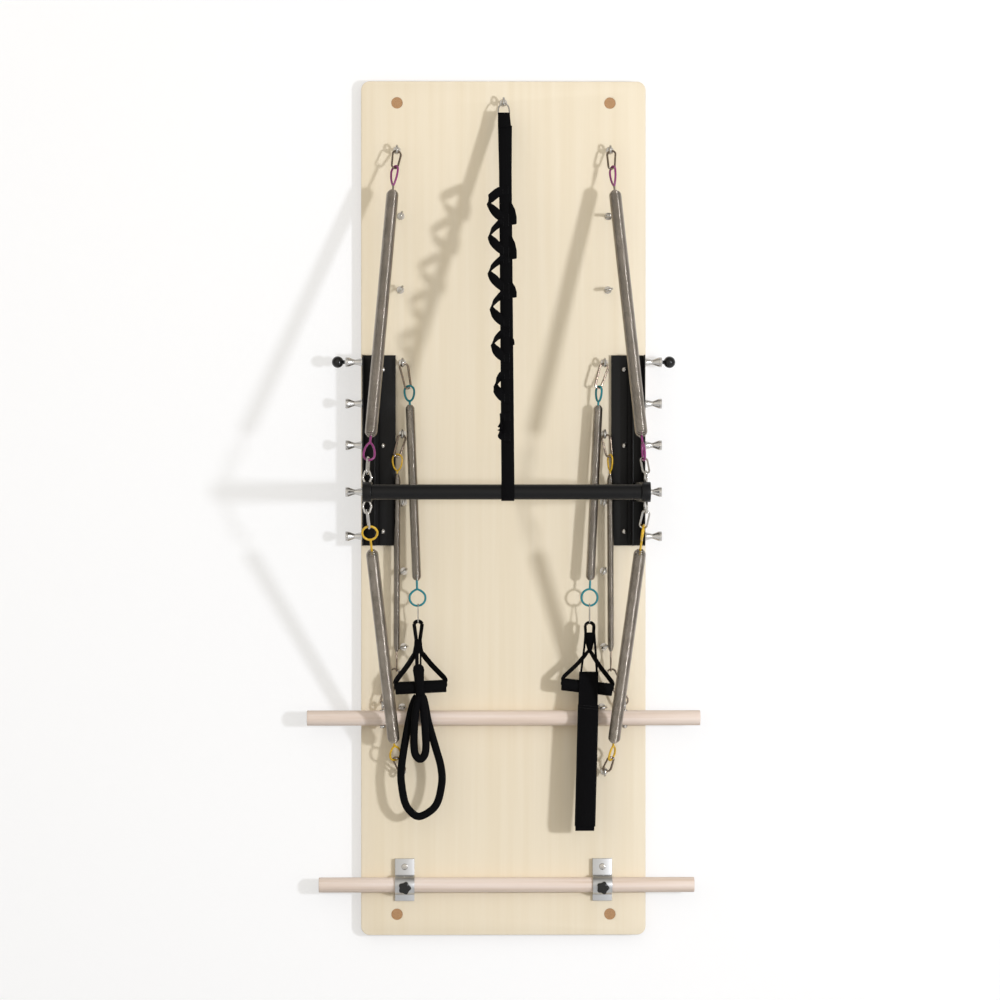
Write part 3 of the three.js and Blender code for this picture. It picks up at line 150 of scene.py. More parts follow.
class Finish:
    def __init__(self, name, color, roughness, metallic=0.0, **sockets):
        self.made = bpy.data.materials.new(name)
        self.made.use_nodes = True
        self.tree = self.made.node_tree
        self.shader = self.tree.nodes["Principled BSDF"]
        self.shader.inputs["Base Color"].default_value = (*color, 1)
        self.shader.inputs["Roughness"].default_value = roughness
        self.shader.inputs["Metallic"].default_value = metallic
        for socket, value in sockets.items():
            self.shader.inputs[socket.replace("_", " ")].default_value = value
        self.made.diffuse_color = (*color, 1)

    def node(self, kind, values=(), **settings):
        return addNode(self.tree, "ShaderNode" + kind, values, **settings)

    # The piece's own coordinates, stretched
    def place(self, scale, source="Object"):
        coordinates = self.node("TexCoord")
        mapped = self.node("Mapping", {"Vector": coordinates.outputs[source], "Scale": scale})
        return mapped.outputs["Vector"]

    def noise(self, scale, detail):
        return self.node("TexNoise", {"Vector": self.place(scale), "Scale": 1.0, "Detail": detail,
                                      "Roughness": 0.55}).outputs["Fac"]

    def bands(self, place, scale, direction, distortion=0.0):
        return self.node("TexWave", {"Vector": place, "Scale": scale, "Distortion": distortion},
                         bands_direction=direction).outputs["Fac"]

    def drive(self, socket, output):
        self.tree.links.new(output, self.shader.inputs[socket])

    def paint(self, factor, stops):
        ramp = self.node("ValToRGB", {"Fac": factor})
        for i, (position, color) in enumerate(stops):
            stop = ramp.color_ramp.elements[i] if i < 2 else ramp.color_ramp.elements.new(position)
            stop.position = position
            stop.color = (*tint(color), 1)
        self.drive("Base Color", ramp.outputs["Color"])

    def roughen(self, factor, lowest, highest):
        made = self.node("MapRange", {"Value": factor, "To Min": lowest, "To Max": highest})
        self.drive("Roughness", made.outputs["Result"])

    def bump(self, height, distance, strength):
        made = self.node("Bump", {"Height": height, "Distance": distance, "Strength": strength})
        self.drive("Normal", made.outputs["Normal"])
        return self.made


# A finish drawn from one noise: its color stops, its limits of roughness, and a bump from it or from a finer noise
def noisy(name, color, roughness, metallic=0.0, noise=(140, 140, 140), detail=3, stops=(), limits=None, bump=None,
          fine=None, **sockets):
    finish = Finish(name, tint(color), roughness, metallic, **sockets)
    drawn = finish.noise(noise, detail)
    if stops:
        finish.paint(drawn, stops)
    if limits:
        finish.roughen(drawn, *limits)
    if bump:
        finish.bump(finish.noise(fine, 3) if fine else drawn, *bump)
    return finish.made


def plyEdge():
    finish = Finish("ply edge", tint((222, 200, 162)), 0.65)
    finish.paint(finish.bands(finish.place((0, 1, 0)), 58.0, "Y"), [(0.35, (196, 164, 122)), (0.6, (230, 210, 176))])
    return finish.bump(finish.noise((260, 30, 260), 3), 0.0003, 0.6)


def endGrain():
    finish = Finish("dowel end grain", tint((216, 190, 160)), 0.65)
    finish.paint(finish.bands(finish.place((0, 1, 1)), 140.0, "Z", 3.0),
                 [(0.2, (202, 172, 140)), (0.7, (222, 198, 170))])
    return finish.made


# Woven webbing: ribs along its length, crossed by fine picks, on UVs in metres
def woven(name, dark, pale, warp, pick):
    finish = Finish(name, tint(dark), 0.85, Specular_IOR_Level=0.06)
    place = finish.place((1, 1, 1), "UV")
    ribs, picks = finish.bands(place, warp / 3.14159, "X"), finish.bands(place, pick / 3.14159, "Y")
    weave = finish.node("Math", {0: ribs, 1: picks}, operation="MULTIPLY").outputs["Value"]
    finish.paint(weave, [(0.0, dark), (0.9, pale)])
    return finish.bump(weave, 0.0003, 0.8)


# A thin colored coat, worn a little darker in places
def coated(name, color, roughness=0.32, wornShare=0.86):
    worn = tuple(int(c * wornShare) for c in color)
    return noisy(name, color, roughness, noise=(220, 220, 220), detail=4, stops=[(0.35, worn), (0.65, color)],
                 Coat_Weight=0.12, Coat_Roughness=0.25)


finishes = {
    "maple": noisy("maple face", (240, 227, 201), 0.5, noise=(55, 55, 1.6), detail=6,
                   stops=[(0.3, (235, 221, 193)), (0.55, (238, 225, 199)), (0.8, (241, 229, 205))],
                   limits=(0.42, 0.56), fine=(420, 420, 9), bump=(0.00015, 0.5), Coat_Weight=0.12, Coat_Roughness=0.35),
    "ply": plyEdge(),
    "plug": noisy("plug end grain", (184, 142, 98), 0.6, noise=(900, 60, 900), detail=5,
                  stops=[(0.3, (158, 114, 74)), (0.55, (184, 142, 98)), (0.8, (203, 164, 120))], bump=(0.0003, 0.6)),
    "wood": noisy("turned pale wood", (228, 209, 190), 0.48, noise=(2.2, 75, 75), detail=6,
                  stops=[(0.28, (220, 198, 178)), (0.5, (236, 218, 204)), (0.75, (244, 230, 220))],
                  limits=(0.42, 0.56), fine=(14, 520, 520), bump=(0.00012, 0.5), Coat_Weight=0.08, Coat_Roughness=0.4),
    "endGrain": endGrain(),
    "spring": noisy("spring steel", (156, 149, 139), 0.22, 1.0, noise=(40, 40, 18),
                    stops=[(0.35, (148, 140, 130)), (0.65, (168, 160, 150))], limits=(0.18, 0.28)),
    "bright": noisy("bright plated steel", (188, 185, 180), 0.16, 1.0, limits=(0.1, 0.26)),
    # The hooks' darker colour is partly their own brownish plating and partly painted dark reflection, standing in for
    # dark surroundings mirrored in the metal
    "hook": noisy("plated steel with painted dark reflection", (132, 118, 104), 0.24, 1.0, limits=(0.16, 0.34)),
    "turned": noisy("turned steel", (205, 203, 200), 0.24, 1.0, noise=(2600, 40, 40), detail=2, limits=(0.16, 0.34),
                    bump=(0.00005, 0.4)),
    "alu": noisy("satin aluminium", (188, 189, 190), 0.4, 1.0, noise=(900, 30, 30), limits=(0.3, 0.48),
                 bump=(0.00004, 0.4)),
    "satin": noisy("black powder coat", (17, 17, 18), 0.42, noise=(1200, 1200, 1200), detail=2, limits=(0.3, 0.44),
                   bump=(0.00006, 0.5), Specular_IOR_Level=0.2),
    "gloss": noisy("black moulded plastic", (14, 14, 15), 0.2, noise=(60, 60, 60), detail=2, limits=(0.12, 0.26),
                   Specular_IOR_Level=0.4),
    "foam": noisy("black foam", (10, 10, 11), 0.85, noise=(1500, 1500, 1500),
                  stops=[(0.3, (8, 8, 9)), (0.7, (17, 17, 18))], bump=(0.0003, 0.7), Specular_IOR_Level=0.06),
    "web": woven("black webbing", (8, 8, 9), (19, 18, 20), 520.0, 760.0),
    "rope": woven("black knitted sleeve", (8, 8, 9), (20, 20, 22), 420.0, 420.0),
    "thread": coated("black thread", (24, 24, 26), 0.6),
    "magenta": coated("magenta coated wire", (150, 52, 122)),
    "yellow": coated("yellow coated wire", (238, 190, 34)),
    "teal": coated("teal coated wire", (0, 134, 144), 0.5),
}
print("finishes made:", len(finishes))


# Mesh making

def meshOf(name, points, faces, finish, uvs=None, angle=40):
    mesh = bpy.data.meshes.new(name)
    mesh.from_pydata([tuple(p) for p in points], [], [tuple(f) for f in faces])
    mesh.materials.append(finishes[finish])
    if uvs is not None:
        layer = mesh.uv_layers.new(name="weave")
        corners = np.array([v for f in faces for v in f])
        layer.data.foreach_set("uv", np.asarray(uvs, float)[corners].ravel())
    mesh.shade_smooth()
    mesh.set_sharp_from_angle(angle=math.radians(angle))
    return mesh


def facedOut(mesh):
    work = bmesh.new()
    work.from_mesh(mesh)
    bmesh.ops.recalc_face_normals(work, faces=work.faces)
    work.to_mesh(mesh)
    work.free()
    return mesh


def linked(name, data):
    made = bpy.data.objects.new(name, data)
    scene.collection.objects.link(made)
    return made


# A holder's mesh after its modifiers, without the holder
def settled(holder):
    graph = bpy.context.evaluated_depsgraph_get()
    made = bpy.data.meshes.new_from_object(holder.evaluated_get(graph))
    bpy.data.objects.remove(holder)
    return made


# One piece from several meshes, each with its own finish
def piece(name, meshes, body, replaced=(), blend=None):
    joined = bpy.data.meshes.new(name)
    work = bmesh.new()
    for mesh in meshes:
        start = len(joined.materials)
        for material in mesh.materials:
            joined.materials.append(material)
        before = len(work.faces)
        work.from_mesh(mesh)
        work.faces.ensure_lookup_table()
        for i in range(before, len(work.faces)):
            work.faces[i].material_index += start
        bpy.data.meshes.remove(mesh)
    work.to_mesh(joined)
    work.free()
    made = linked(name, joined)
    if blend:
        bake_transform(made)
    else:
        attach(made, body)
    if replaced:
        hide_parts(*replaced)
    return made


# Rings of points made into a skin
def skin(rings, closed=False, capped=True):
    rings = np.asarray(rings)
    count, around = rings.shape[:2]
    faces = []
    for i in range(count if closed else count - 1):
        here, there = i * around, (i + 1) % count * around
        for s in range(around):
            t = (s + 1) % around
            faces.append((here + s, here + t, there + t, there + s))
    if capped and not closed:
        faces.append(tuple(range(around))[::-1])
        faces.append(tuple(range((count - 1) * around, count * around)))
    return rings.reshape(-1, 3), faces


def tangents(points, closed=False):
    if closed:
        return np.array([unit(d) for d in np.roll(points, -1, 0) - np.roll(points, 1, 0)])
    return np.array([unit(d) for d in np.gradient(points, axis=0)])


# How far along a line each of its points lies
def runs(points):
    return np.concatenate([[0.0], np.cumsum([np.linalg.norm(b - a) for a, b in zip(points, points[1:])])])


def turnsRound(count):
    return np.arange(count) * 2 * math.pi / count


# A round wire, tube or cord through points
def wire(name, points, diameter, finish, around=12, closed=False, normal=None):
    points = np.asarray(points, float)
    ways = tangents(points, closed)
    if normal is None:
        normal = np.cross(ways[0], [0.3, 0.9, 0.2])
    diameters = np.broadcast_to(diameter, len(points))
    rings, uvs = [], []
    for point, way, wide, run in zip(points, ways, diameters, runs(points)):
        normal = unit(normal - (np.asarray(normal) @ way) * way)
        other = np.cross(way, normal)
        rings.append([point + wide / 2 * (math.cos(a) * normal + math.sin(a) * other) for a in turnsRound(around)])
        uvs += [(a * wide / 2, run) for a in turnsRound(around)]
    return facedOut(meshOf(name, *skin(rings, closed), finish, uvs, 60))


# A strip of webbing through points, with a direction across its width at each, and its edges cut off by a share
def ribbon(name, points, across, width, thickness, finish="web", edgeShare=0.32):
    points = np.asarray(points, float)
    across = np.broadcast_to(across, points.shape)
    widths = np.broadcast_to(width, len(points))
    edge, thick = thickness * edgeShare, thickness / 2
    rings, uvs = [], []
    for point, way, wide, toward, run in zip(points, tangents(points), widths, across, runs(points)):
        half = wide / 2
        outline = [(-half + edge, -thick), (half - edge, -thick), (half, -thick + edge), (half, thick - edge),
                   (half - edge, thick), (-half + edge, thick), (-half, thick - edge), (-half, -thick + edge)]
        side = unit(toward - (toward @ way) * way)
        out = np.cross(side, way)
        rings.append([point + a * side + b * out for a, b in outline])
        uvs += [(a, run) for a, b in outline]
    return facedOut(meshOf(name, *skin(rings), finish, uvs, 50))


# A turned piece: (radius, distance) pairs along an axis, each profile corner a ring
def lathe(name, profile, start, axis, finish, around=40, angle=35):
    axis = unit(axis)
    side = unit(np.cross(axis, [0, 0, 1] if abs(axis[2]) < 0.9 else [1, 0, 0]))
    other = np.cross(axis, side)
    rings = [[np.asarray(start) + d * axis + r * (math.cos(a) * side + math.sin(a) * other)
              for a in turnsRound(around)] for r, d in profile]
    return facedOut(meshOf(name, *skin(rings), finish, None, angle))


pointRadius = 0.0002  # where a turned end closes on its axis


# Parts of turned profiles: a plain disc, a softened end, a dome, and a screw's head with its socket
def disc(radius, rise):
    return [(pointRadius, 0), (radius, 0), (radius, rise), (pointRadius, rise)]


def roundedEnd(radius, distance, corner, direction, steps=4):
    points = [(radius - corner + corner * math.cos(a), distance + direction * corner * (math.sin(a) - 1))
              for a in np.arange(steps + 1) * math.pi / 2 / steps]
    return points if direction > 0 else points[::-1]


def dome(radius, rise, skirtShare, first, last):
    return [(radius * math.cos(t), rise * (skirtShare + (1 - skirtShare) * math.sin(t)))
            for t in np.linspace(first, last, 8)]


def socketHead(radius, rise, skirtShare, last, mouthShare, footShare, depthShare):
    return ([(radius, 0)] + dome(radius, rise, skirtShare, 0, last) + [(radius * mouthShare, rise * 0.98)]
            + [(radius * footShare, rise * depthShare), (pointRadius, rise * depthShare)])


# A flat outline drawn out along a direction, with softened edges
def plate(name, outline, origin, across, up, thickness, finish, bevel=0.0008, steps=3):
    across, up = np.asarray(across, float), np.asarray(up, float)
    depth = np.cross(across, up) * thickness
    base = [np.asarray(origin) + x * across + y * up for x, y in outline]
    count = len(base)
    faces = [tuple(range(count))[::-1], tuple(range(count, 2 * count))]
    faces += [(i, (i + 1) % count, (i + 1) % count + count, i + count) for i in range(count)]
    mesh = facedOut(meshOf(name, base + [p + depth for p in base], faces, finish))
    work = bmesh.new()
    work.from_mesh(mesh)
    sharp = [e for e in work.edges if e.calc_face_angle(0) > math.radians(40)]
    bmesh.ops.bevel(work, geom=sharp, offset=bevel, segments=steps, profile=0.5, affect="EDGES")
    work.to_mesh(mesh)
    work.free()
    mesh.shade_smooth()
    mesh.set_sharp_from_angle(angle=math.radians(30))
    return mesh


def arc(centre, radius, start, end, steps):
    angles = [start + (end - start) * i / steps for i in range(steps + 1)]
    return [(centre[0] + radius * math.cos(a), centre[1] + radius * math.sin(a)) for a in angles]


# A smooth line through a few points, and one that closes
def smoothLine(points, steps):
    points = np.asarray(points, float)
    ends = np.vstack([2 * points[0] - points[1], points, 2 * points[-1] - points[-2]])
    line = []
    for i in range(len(points) - 1):
        a, b, c, d = ends[i:i + 4]
        for t in np.arange(steps) / steps:
            line.append(0.5 * (2 * b + (c - a) * t + (2 * a - 5 * b + 4 * c - d) * t ** 2
                               + (3 * b - a - 3 * c + d) * t ** 3))
    return np.array(line + [points[-1]])


def smoothRing(points, steps=5):
    return smoothLine(points + [points[0]], steps)[:-1]


# Geometry Nodes trees

class Tree:
    def __init__(self, name, **inputs):
        self.tree = bpy.data.node_groups.new(name, "GeometryNodeTree")
        face = self.tree.interface
        face.new_socket("Geometry", in_out="INPUT", socket_type="NodeSocketGeometry")
        for label, value in inputs.items():
            kind = {"int": "Int", "float": "Float", "Material": "Material"}[type(value).__name__]
            made = face.new_socket(label, in_out="INPUT", socket_type="NodeSocket" + kind)
            made.default_value = value
        face.new_socket("Geometry", in_out="OUTPUT", socket_type="NodeSocketGeometry")
        self.given = self.tree.nodes.new("NodeGroupInput").outputs
        self.result = self.tree.nodes.new("NodeGroupOutput").inputs["Geometry"]

    def node(self, kind, values=(), **settings):
        return addNode(self.tree, kind, values, **settings).outputs[0]

    def math(self, operation, a, b=0.0):
        return self.node("ShaderNodeMath", {0: a, 1: b}, operation=operation)

    def vector(self, x=0.0, y=0.0, z=0.0):
        return self.node("ShaderNodeCombineXYZ", {"X": x, "Y": y, "Z": z})

    def circle(self, steps, diameter):
        return self.node("GeometryNodeCurvePrimitiveCircle", {
            "Resolution": steps, "Radius": self.math("MULTIPLY", diameter, 0.5)})

    # Instances on points, made real, smooth and given the finish
    def placeOn(self, points, instance, turn, **values):
        placed = self.node("GeometryNodeInstanceOnPoints", {
            "Points": points, "Instance": instance, "Rotation": turn, **values})
        return self.finish(placed)

    def finish(self, geometry):
        real = self.node("GeometryNodeRealizeInstances", {"Geometry": geometry})
        smooth = self.node("GeometryNodeSetShadeSmooth", {"Geometry": real})
        coated = self.node("GeometryNodeSetMaterial", {"Geometry": smooth, "Material": self.given["Finish"]})
        self.tree.links.new(coated, self.result)
        return self

    # The tree's result as a plain mesh, grown on points and edges where it needs them
    def mesh(self, name, values, points=(), edges=(), turns=()):
        source = bpy.data.meshes.new(name)
        source.from_pydata([tuple(p) for p in points], edges, [])
        if turns:
            source.attributes.new("turn", "FLOAT", "POINT").data.foreach_set("value", turns)
        holder = linked(name, source)
        modifier = holder.modifiers.new("nodes", "NODES")
        modifier.node_group = self.tree
        for item in self.tree.interface.items_tree:
            if item.in_out == "INPUT" and item.name in values:
                modifier[item.identifier] = values[item.name]
        return settled(holder)


# Close-wound coil along +Z, whose last turns draw in toward the axis
def coilTree():
    tree = Tree("close-wound coil", Radius=0.013, Wire=0.003, Length=0.5, Turns=150.0, Steps=16,
                Sides=6, Taper=0.008, EndShare=0.45, Finish=finishes["spring"])
    given = tree.given
    line = tree.node("GeometryNodeCurveSpiral", {
        "Resolution": given["Steps"], "Rotations": given["Turns"], "Start Radius": given["Radius"],
        "End Radius": given["Radius"], "Height": given["Length"]})
    place = tree.node("GeometryNodeInputPosition")
    x, y, z = addNode(tree.tree, "ShaderNodeSeparateXYZ", {"Vector": place}).outputs
    toEnd = tree.math("MINIMUM", z, tree.math("SUBTRACT", given["Length"], z))
    share = tree.math("MINIMUM", tree.math("DIVIDE", toEnd, given["Taper"]), 1.0)
    eased = tree.math("SINE", tree.math("MULTIPLY", share, math.pi / 2))
    grown = tree.math("MULTIPLY", eased, tree.math("SUBTRACT", 1.0, given["EndShare"]))
    reach = tree.math("ADD", given["EndShare"], grown)
    moved = tree.vector(tree.math("MULTIPLY", x, reach), tree.math("MULTIPLY", y, reach), z)
    drawn = tree.node("GeometryNodeSetPosition", {"Geometry": line, "Position": moved})
    profile = tree.circle(given["Sides"], given["Wire"])
    return tree.finish(tree.node("GeometryNodeCurveToMesh", {
        "Curve": drawn, "Profile Curve": profile, "Fill Caps": True}))


eyeBolt = {"Ring": 0.0175, "Wire": 0.0055, "StandOff": 0.031, "Flange": 0.017, "FlangeThickness": 0.003, "Shank": 0.006}


# Eye bolts on points of the board: a ring square to it, the ring's shank, its flange and its collar
def eyeBoltTree():
    tree = Tree("eye bolts", **eyeBolt, Finish=finishes["bright"])
    given = tree.given
    ring = tree.node("GeometryNodeCurveToMesh", {
        "Curve": tree.circle(40, given["Ring"]), "Profile Curve": tree.circle(14, given["Wire"])})
    parts = [tree.node("GeometryNodeTransform", {
        "Geometry": ring, "Translation": tree.vector(y=tree.math("MULTIPLY", given["StandOff"], -1.0)),
        "Rotation": (0, math.pi / 2, 0)})]
    shankLength = tree.math("SUBTRACT", given["StandOff"], tree.math("MULTIPLY", given["Ring"], 0.5))
    collar = tree.math("MULTIPLY", given["Shank"], 1.9)
    collarLength = tree.math("MULTIPLY", given["FlangeThickness"], 2.4)
    for width, length, around in ((given["Shank"], shankLength, 24), (given["Flange"], given["FlangeThickness"], 40),
                                  (collar, collarLength, 6)):
        rod = tree.node("GeometryNodeMeshCylinder", {
            "Vertices": around, "Radius": tree.math("MULTIPLY", width, 0.5), "Depth": length})
        parts.append(tree.node("GeometryNodeTransform", {
            "Geometry": rod, "Rotation": (math.pi / 2, 0, 0),
            "Translation": tree.vector(y=tree.math("MULTIPLY", length, -0.5))}))
    bolt = tree.node("GeometryNodeJoinGeometry", {"Geometry": parts})
    turn = tree.node("GeometryNodeInputNamedAttribute", {"Name": "turn"}, data_type="FLOAT")
    turned = tree.node("FunctionNodeEulerToRotation", {"Euler": tree.vector(y=turn)})
    return tree.placeOn(given["Geometry"], bolt, turned)


# Stitches along a mesh's edges
def stitchTree():
    tree = Tree("stitches", Pitch=0.0032, Length=0.0021, Thread=0.0007, Finish=finishes["thread"])
    given = tree.given
    curve = tree.node("GeometryNodeMeshToCurve", {"Mesh": given["Geometry"]})
    spots = tree.node("GeometryNodeResampleCurve", {"Curve": curve, "Length": given["Pitch"]}, mode="LENGTH")
    tangent = tree.node("GeometryNodeInputTangent")
    turned = tree.node("FunctionNodeAlignRotationToVector", {"Vector": tangent}, axis="Z")
    stitch = tree.node("GeometryNodeMeshUVSphere", {"Segments": 8, "Rings": 5, "Radius": 0.5})
    size = tree.vector(given["Thread"], given["Thread"], given["Length"])
    return tree.placeOn(spots, stitch, turned, Scale=size)


trees = {"coil": coilTree(), "eyes": eyeBoltTree(), "stitches": stitchTree()}


def stitches(line):
    return trees["stitches"].mesh("seam", {}, line, [(i, i + 1) for i in range(len(line) - 1)])


# Board

board = {"corner": 0.02, "cornerSteps": 14, "edge": 0.0015, "plug": 0.027, "plugPlay": 0.0004, "plugShare": 0.4,
         "recess": 0.0015, "drillReach": 0.01, "insetX": 0.083, "topInset": 0.05, "bottomInset": 0.048,
         "drillPoint": 0.00001, "plugPoint": 0.0001, "faceDepth": 0.002}


def makeBoard():
    a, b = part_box("backboard")
    inset, radius, recess = board["corner"], board["plug"] / 2, board["recess"]
    outline = []
    for i, (x, z) in enumerate([(b.x, b.z), (a.x, b.z), (a.x, a.z), (b.x, a.z)]):
        centre = (x - math.copysign(inset, x), z - math.copysign(inset, z))
        outline += arc(centre, inset, i * math.pi / 2, (i + 1) * math.pi / 2, board["cornerSteps"])
    slab = plate("board", outline, (0, b.y, 0), (1, 0, 0), (0, 0, 1), b.y - a.y, "maple", board["edge"])
    slab.materials.append(finishes["ply"])
    holder = linked("slab", slab)
    reach, point = board["drillReach"], board["drillPoint"]
    drill = [(point, -reach), (radius, -reach), (radius, recess), (point, recess)]
    rise, fit, corner = recess * board["plugShare"], radius - board["plugPlay"], board["plugPlay"]
    plug = [(board["plugPoint"], rise)] + roundedEnd(fit, rise, corner, 1) + [(fit, 0)]
    discs, tools = [], []
    for sign in sides.values():
        for z in (b.z - board["topInset"], a.z + board["bottomInset"]):
            place = (sign * (b.x - board["insetX"]), a.y, z)
            tool = linked("drill", lathe("drill", drill, place, (0, 1, 0), "maple", 48))
            cut = holder.modifiers.new("cut", "BOOLEAN")
            cut.operation, cut.object, cut.solver = "DIFFERENCE", tool, "EXACT"
            tools.append(tool)
            base = Vector(place) + Vector((0, recess, 0))
            discs.append(lathe("plug", plug[::-1], base, (0, -1, 0), "plug", 48))
    made = settled(holder)
    for face in made.polygons:
        isEdge = abs(face.normal.y) < 0.5 and face.center.y > a.y + board["faceDepth"]
        face.material_index = 1 if isEdge else 0
    made.set_sharp_from_angle(angle=math.radians(30))
    for tool in tools:
        bpy.data.objects.remove(tool)
    piece("board", [made], "wall_board", ["backboard"])
    piece("board_plugs", discs, "wall_board")


makeBoard()
print("board made")

# Eye bolts: those that carry something stand as in the frame, the empty ones are turned as they happen to be

# Each empty bolt: its x and z, and its turn
eyes = {
    "emptyLeft": [(-0.238, 0.677, 0.35), (-0.239, 0.506, 0.6), (-0.232, 0.0145, 0.3), (-0.231, -0.146, 0.9),
                  (-0.231, -0.3215, 1.3), (-0.235, -0.4615, 1.45)],
    "emptyRight": [(0.2436, 0.677, 1.5), (0.2424, 0.506, 1.35), (0.232, 0.0145, 0.2), (0.232, -0.146, 0.4),
                   (0.233, -0.3215, 1.25), (0.2285, -0.4615, 1.5)],
}
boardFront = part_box("backboard")[0].y


def makeEyes(name, places, replaced=()):
    points = [(x, boardFront, z) for x, z, turn in places]
    made = trees["eyes"].mesh("eyes", {}, points, turns=[turn for x, z, turn in places])
    made.set_sharp_from_angle(angle=math.radians(40))
    piece(name, [made], "wall_board", replaced)


eyeNodes = [node for node in frame["nodes"] if node.startswith("eye_bolt")]
makeEyes("eye_bolts_in_use", [(boxMiddle(node)[0], boxMiddle(node)[2], 0.0) for node in eyeNodes], eyeNodes)
makeEyes("eye_bolts_empty", eyes["emptyLeft"] + eyes["emptyRight"])
print("eye bolts made")

# Springs: a coil, and at each end a loop on a stem that is held in the coil's narrowed end

# Each end loop: its outer width and height, its stem's length, how far it is drawn to a point, its color and its stem's
springs = {
    "upper_spring": {"coil": 0.029, "wire": 0.003, "loopWire": 0.0050, "bodies": ("wall_board", "push_bar"),
                     "taper": 0.012, "endShare": 0.42,
                     "ends": [(0.030, 0.056, 0.013, 0.7, "magenta", "spring"),
                              (0.030, 0.048, 0.016, 0.35, "magenta", "magenta")]},
    "lower_spring": {"coil": 0.029, "wire": 0.003, "loopWire": 0.0050, "bodies": ("push_bar", "wall_board"),
                     "taper": 0.012, "endShare": 0.42,
                     "ends": [(0.039, 0.040, 0.028, 0.1, "yellow", "yellow"),
                              (0.032, 0.042, 0.012, 0.3, "yellow", "yellow")]},
    "pull_spring": {"coil": 0.022, "wire": 0.0024, "loopWire": 0.0050, "bodies": ("pull_spring", "handle"),
                    "taper": 0.009, "endShare": 0.45,
                    "ends": [(0.030, 0.040, 0.009, 0.0, "teal", "teal"), (0.042, 0.043, 0.021, 0.3, "teal", "teal")]},
    "roll_down_spring": {"coil": 0.016, "wire": 0.002, "loopWire": 0.0038, "bodies": ("wall_board", "roll_down"),
                         "taper": 0.018, "endShare": 0.30,
                         "ends": [(0.028, 0.042, 0.006, 0.2, "yellow", "yellow"),
                                  (0.014, 0.032, 0.016, 0.3, "hook", "hook")]},
}
springLook = {"coilSteps": 14, "wireSides": 8, "loopSteps": 44, "stemInCoil": 0.012, "closingShare": 0.985,
              "wireShare": 0.9, "loopReachShare": 0.8, "stemStartShare": 0.6, "stemShare": 1.02,
              "ringPinch": {"left": 0.45, "right": 0.0}}


# An end loop from its stem round and back to its stem
def loopLine(tip, axis, side, width, height, pinch):
    radius, far = width / 2, height - width / 2
    line = []
    for a in np.linspace(math.pi, -math.pi * springLook["closingShare"], springLook["loopSteps"]):
        isNear = math.cos(a) > 0
        along = radius * (1 - math.cos(a)) if isNear else height - far * (1 + math.cos(a))
        reach = math.sin(a) * (1 if isNear else abs(math.sin(a)) ** pinch)
        line.append(tip + axis * along + side * radius * reach)
    return line


def makeSpring(kind, side):
    look = springs[kind]
    node = f"{kind}_{side}"
    bodies = [b if b in frame["bodies"] else f"{b}_{side}" for b in look["bodies"]]
    place = springPlace(node, min(end[1] for end in look["ends"]) * springLook["loopReachShare"])
    wide = look["loopWire"]
    half = wide / 2
    meshes, starts = [], []
    for i, (tip, way) in enumerate(((place["top"], place["axis"]), (place["bottom"], -place["axis"]))):
        width, height, stem, pinch, loopColor, stemColor = look["ends"][i]
        if kind == "pull_spring" and i == 1:
            pinch = springLook["ringPinch"][side]
        tip, width, height = tip + way * half, width - wide, height - wide
        line = loopLine(tip, way, place["sides"][i], width, height, pinch)
        normal = np.cross(way, place["sides"][i])
        meshes.append(wire("loop", line, wide, loopColor, normal=normal))
        starts.append(tip + way * (height + stem))
        stemLine = [tip + way * (height - half * springLook["stemStartShare"]),
                    starts[i] + way * springLook["stemInCoil"]]
        meshes.append(wire("stem", stemLine, wide * springLook["stemShare"], stemColor, normal=normal))
    length = np.linalg.norm(starts[1] - starts[0])
    coil = trees["coil"].mesh("coil", {
        "Radius": (look["coil"] - look["wire"]) / 2, "Wire": look["wire"] * springLook["wireShare"], "Length": length,
        "Turns": float(round(length / look["wire"])), "Steps": springLook["coilSteps"],
        "Sides": springLook["wireSides"], "Taper": look["taper"], "EndShare": look["endShare"]})
    turn = Vector(place["axis"]).to_track_quat("Z", "Y").to_matrix().to_4x4()
    coil.transform(Matrix.Translation(Vector(starts[0])) @ turn)
    piece(node + "_coil", meshes + [coil], bodies, [node], blend=starts)


for kind in springs:
    for side in sides:
        makeSpring(kind, side)
print("springs made")

# Snap hooks, pear-shaped with a hinged gate, and plain links

hooks = {"wire": 0.0045, "around": 14, "steps": 56, "pear": 0.12, "gateShares": (0.2, 0.42), "gateShare": 1.12,
         "rivetShare": 0.34, "rivetReachShare": 0.75}


def pearLine(place, pear):
    near = (place["width"] - hooks["wire"]) / 2
    far = near * (1 - 2 * pear)
    length = place["length"] - hooks["wire"]
    start = place["centre"] - place["axis"] * length / 2
    line = []
    for a in turnsRound(hooks["steps"]):
        isNear = math.cos(a) > 0
        along = near * (1 - math.cos(a)) if isNear else length - far * (1 + math.cos(a))
        line.append(start + place["axis"] * along + place["side"] * (near if isNear else far) * math.sin(a))
    return np.array(line)


def makeHook(node, toward, body, pear=hooks["pear"], gated=True):
    place = wirePlace(node, toward)
    thick, around, normal = hooks["wire"], hooks["around"], place["normal"]
    line = pearLine(place, pear)
    # Gated hooks take the steel whose darkness is partly painted dark reflection; plain links take the bright steel
    steel = "hook" if gated else "bright"
    meshes = [wire("ring", line, thick, steel, around, True, normal)]
    if gated:
        first, last = (int(len(line) * share) for share in hooks["gateShares"])
        gate = line[first:last]
        meshes.append(wire("gate", gate, thick * hooks["gateShare"], steel, around, normal=normal))
        reach = thick * hooks["rivetReachShare"]
        rivet = disc(thick * hooks["rivetShare"], 2 * reach)
        meshes.append(lathe("rivet", rivet, gate[-1] - normal * reach, normal, "turned", 16))
    piece(f"{node}_{'snap' if gated else 'ring'}", meshes, body, [node])


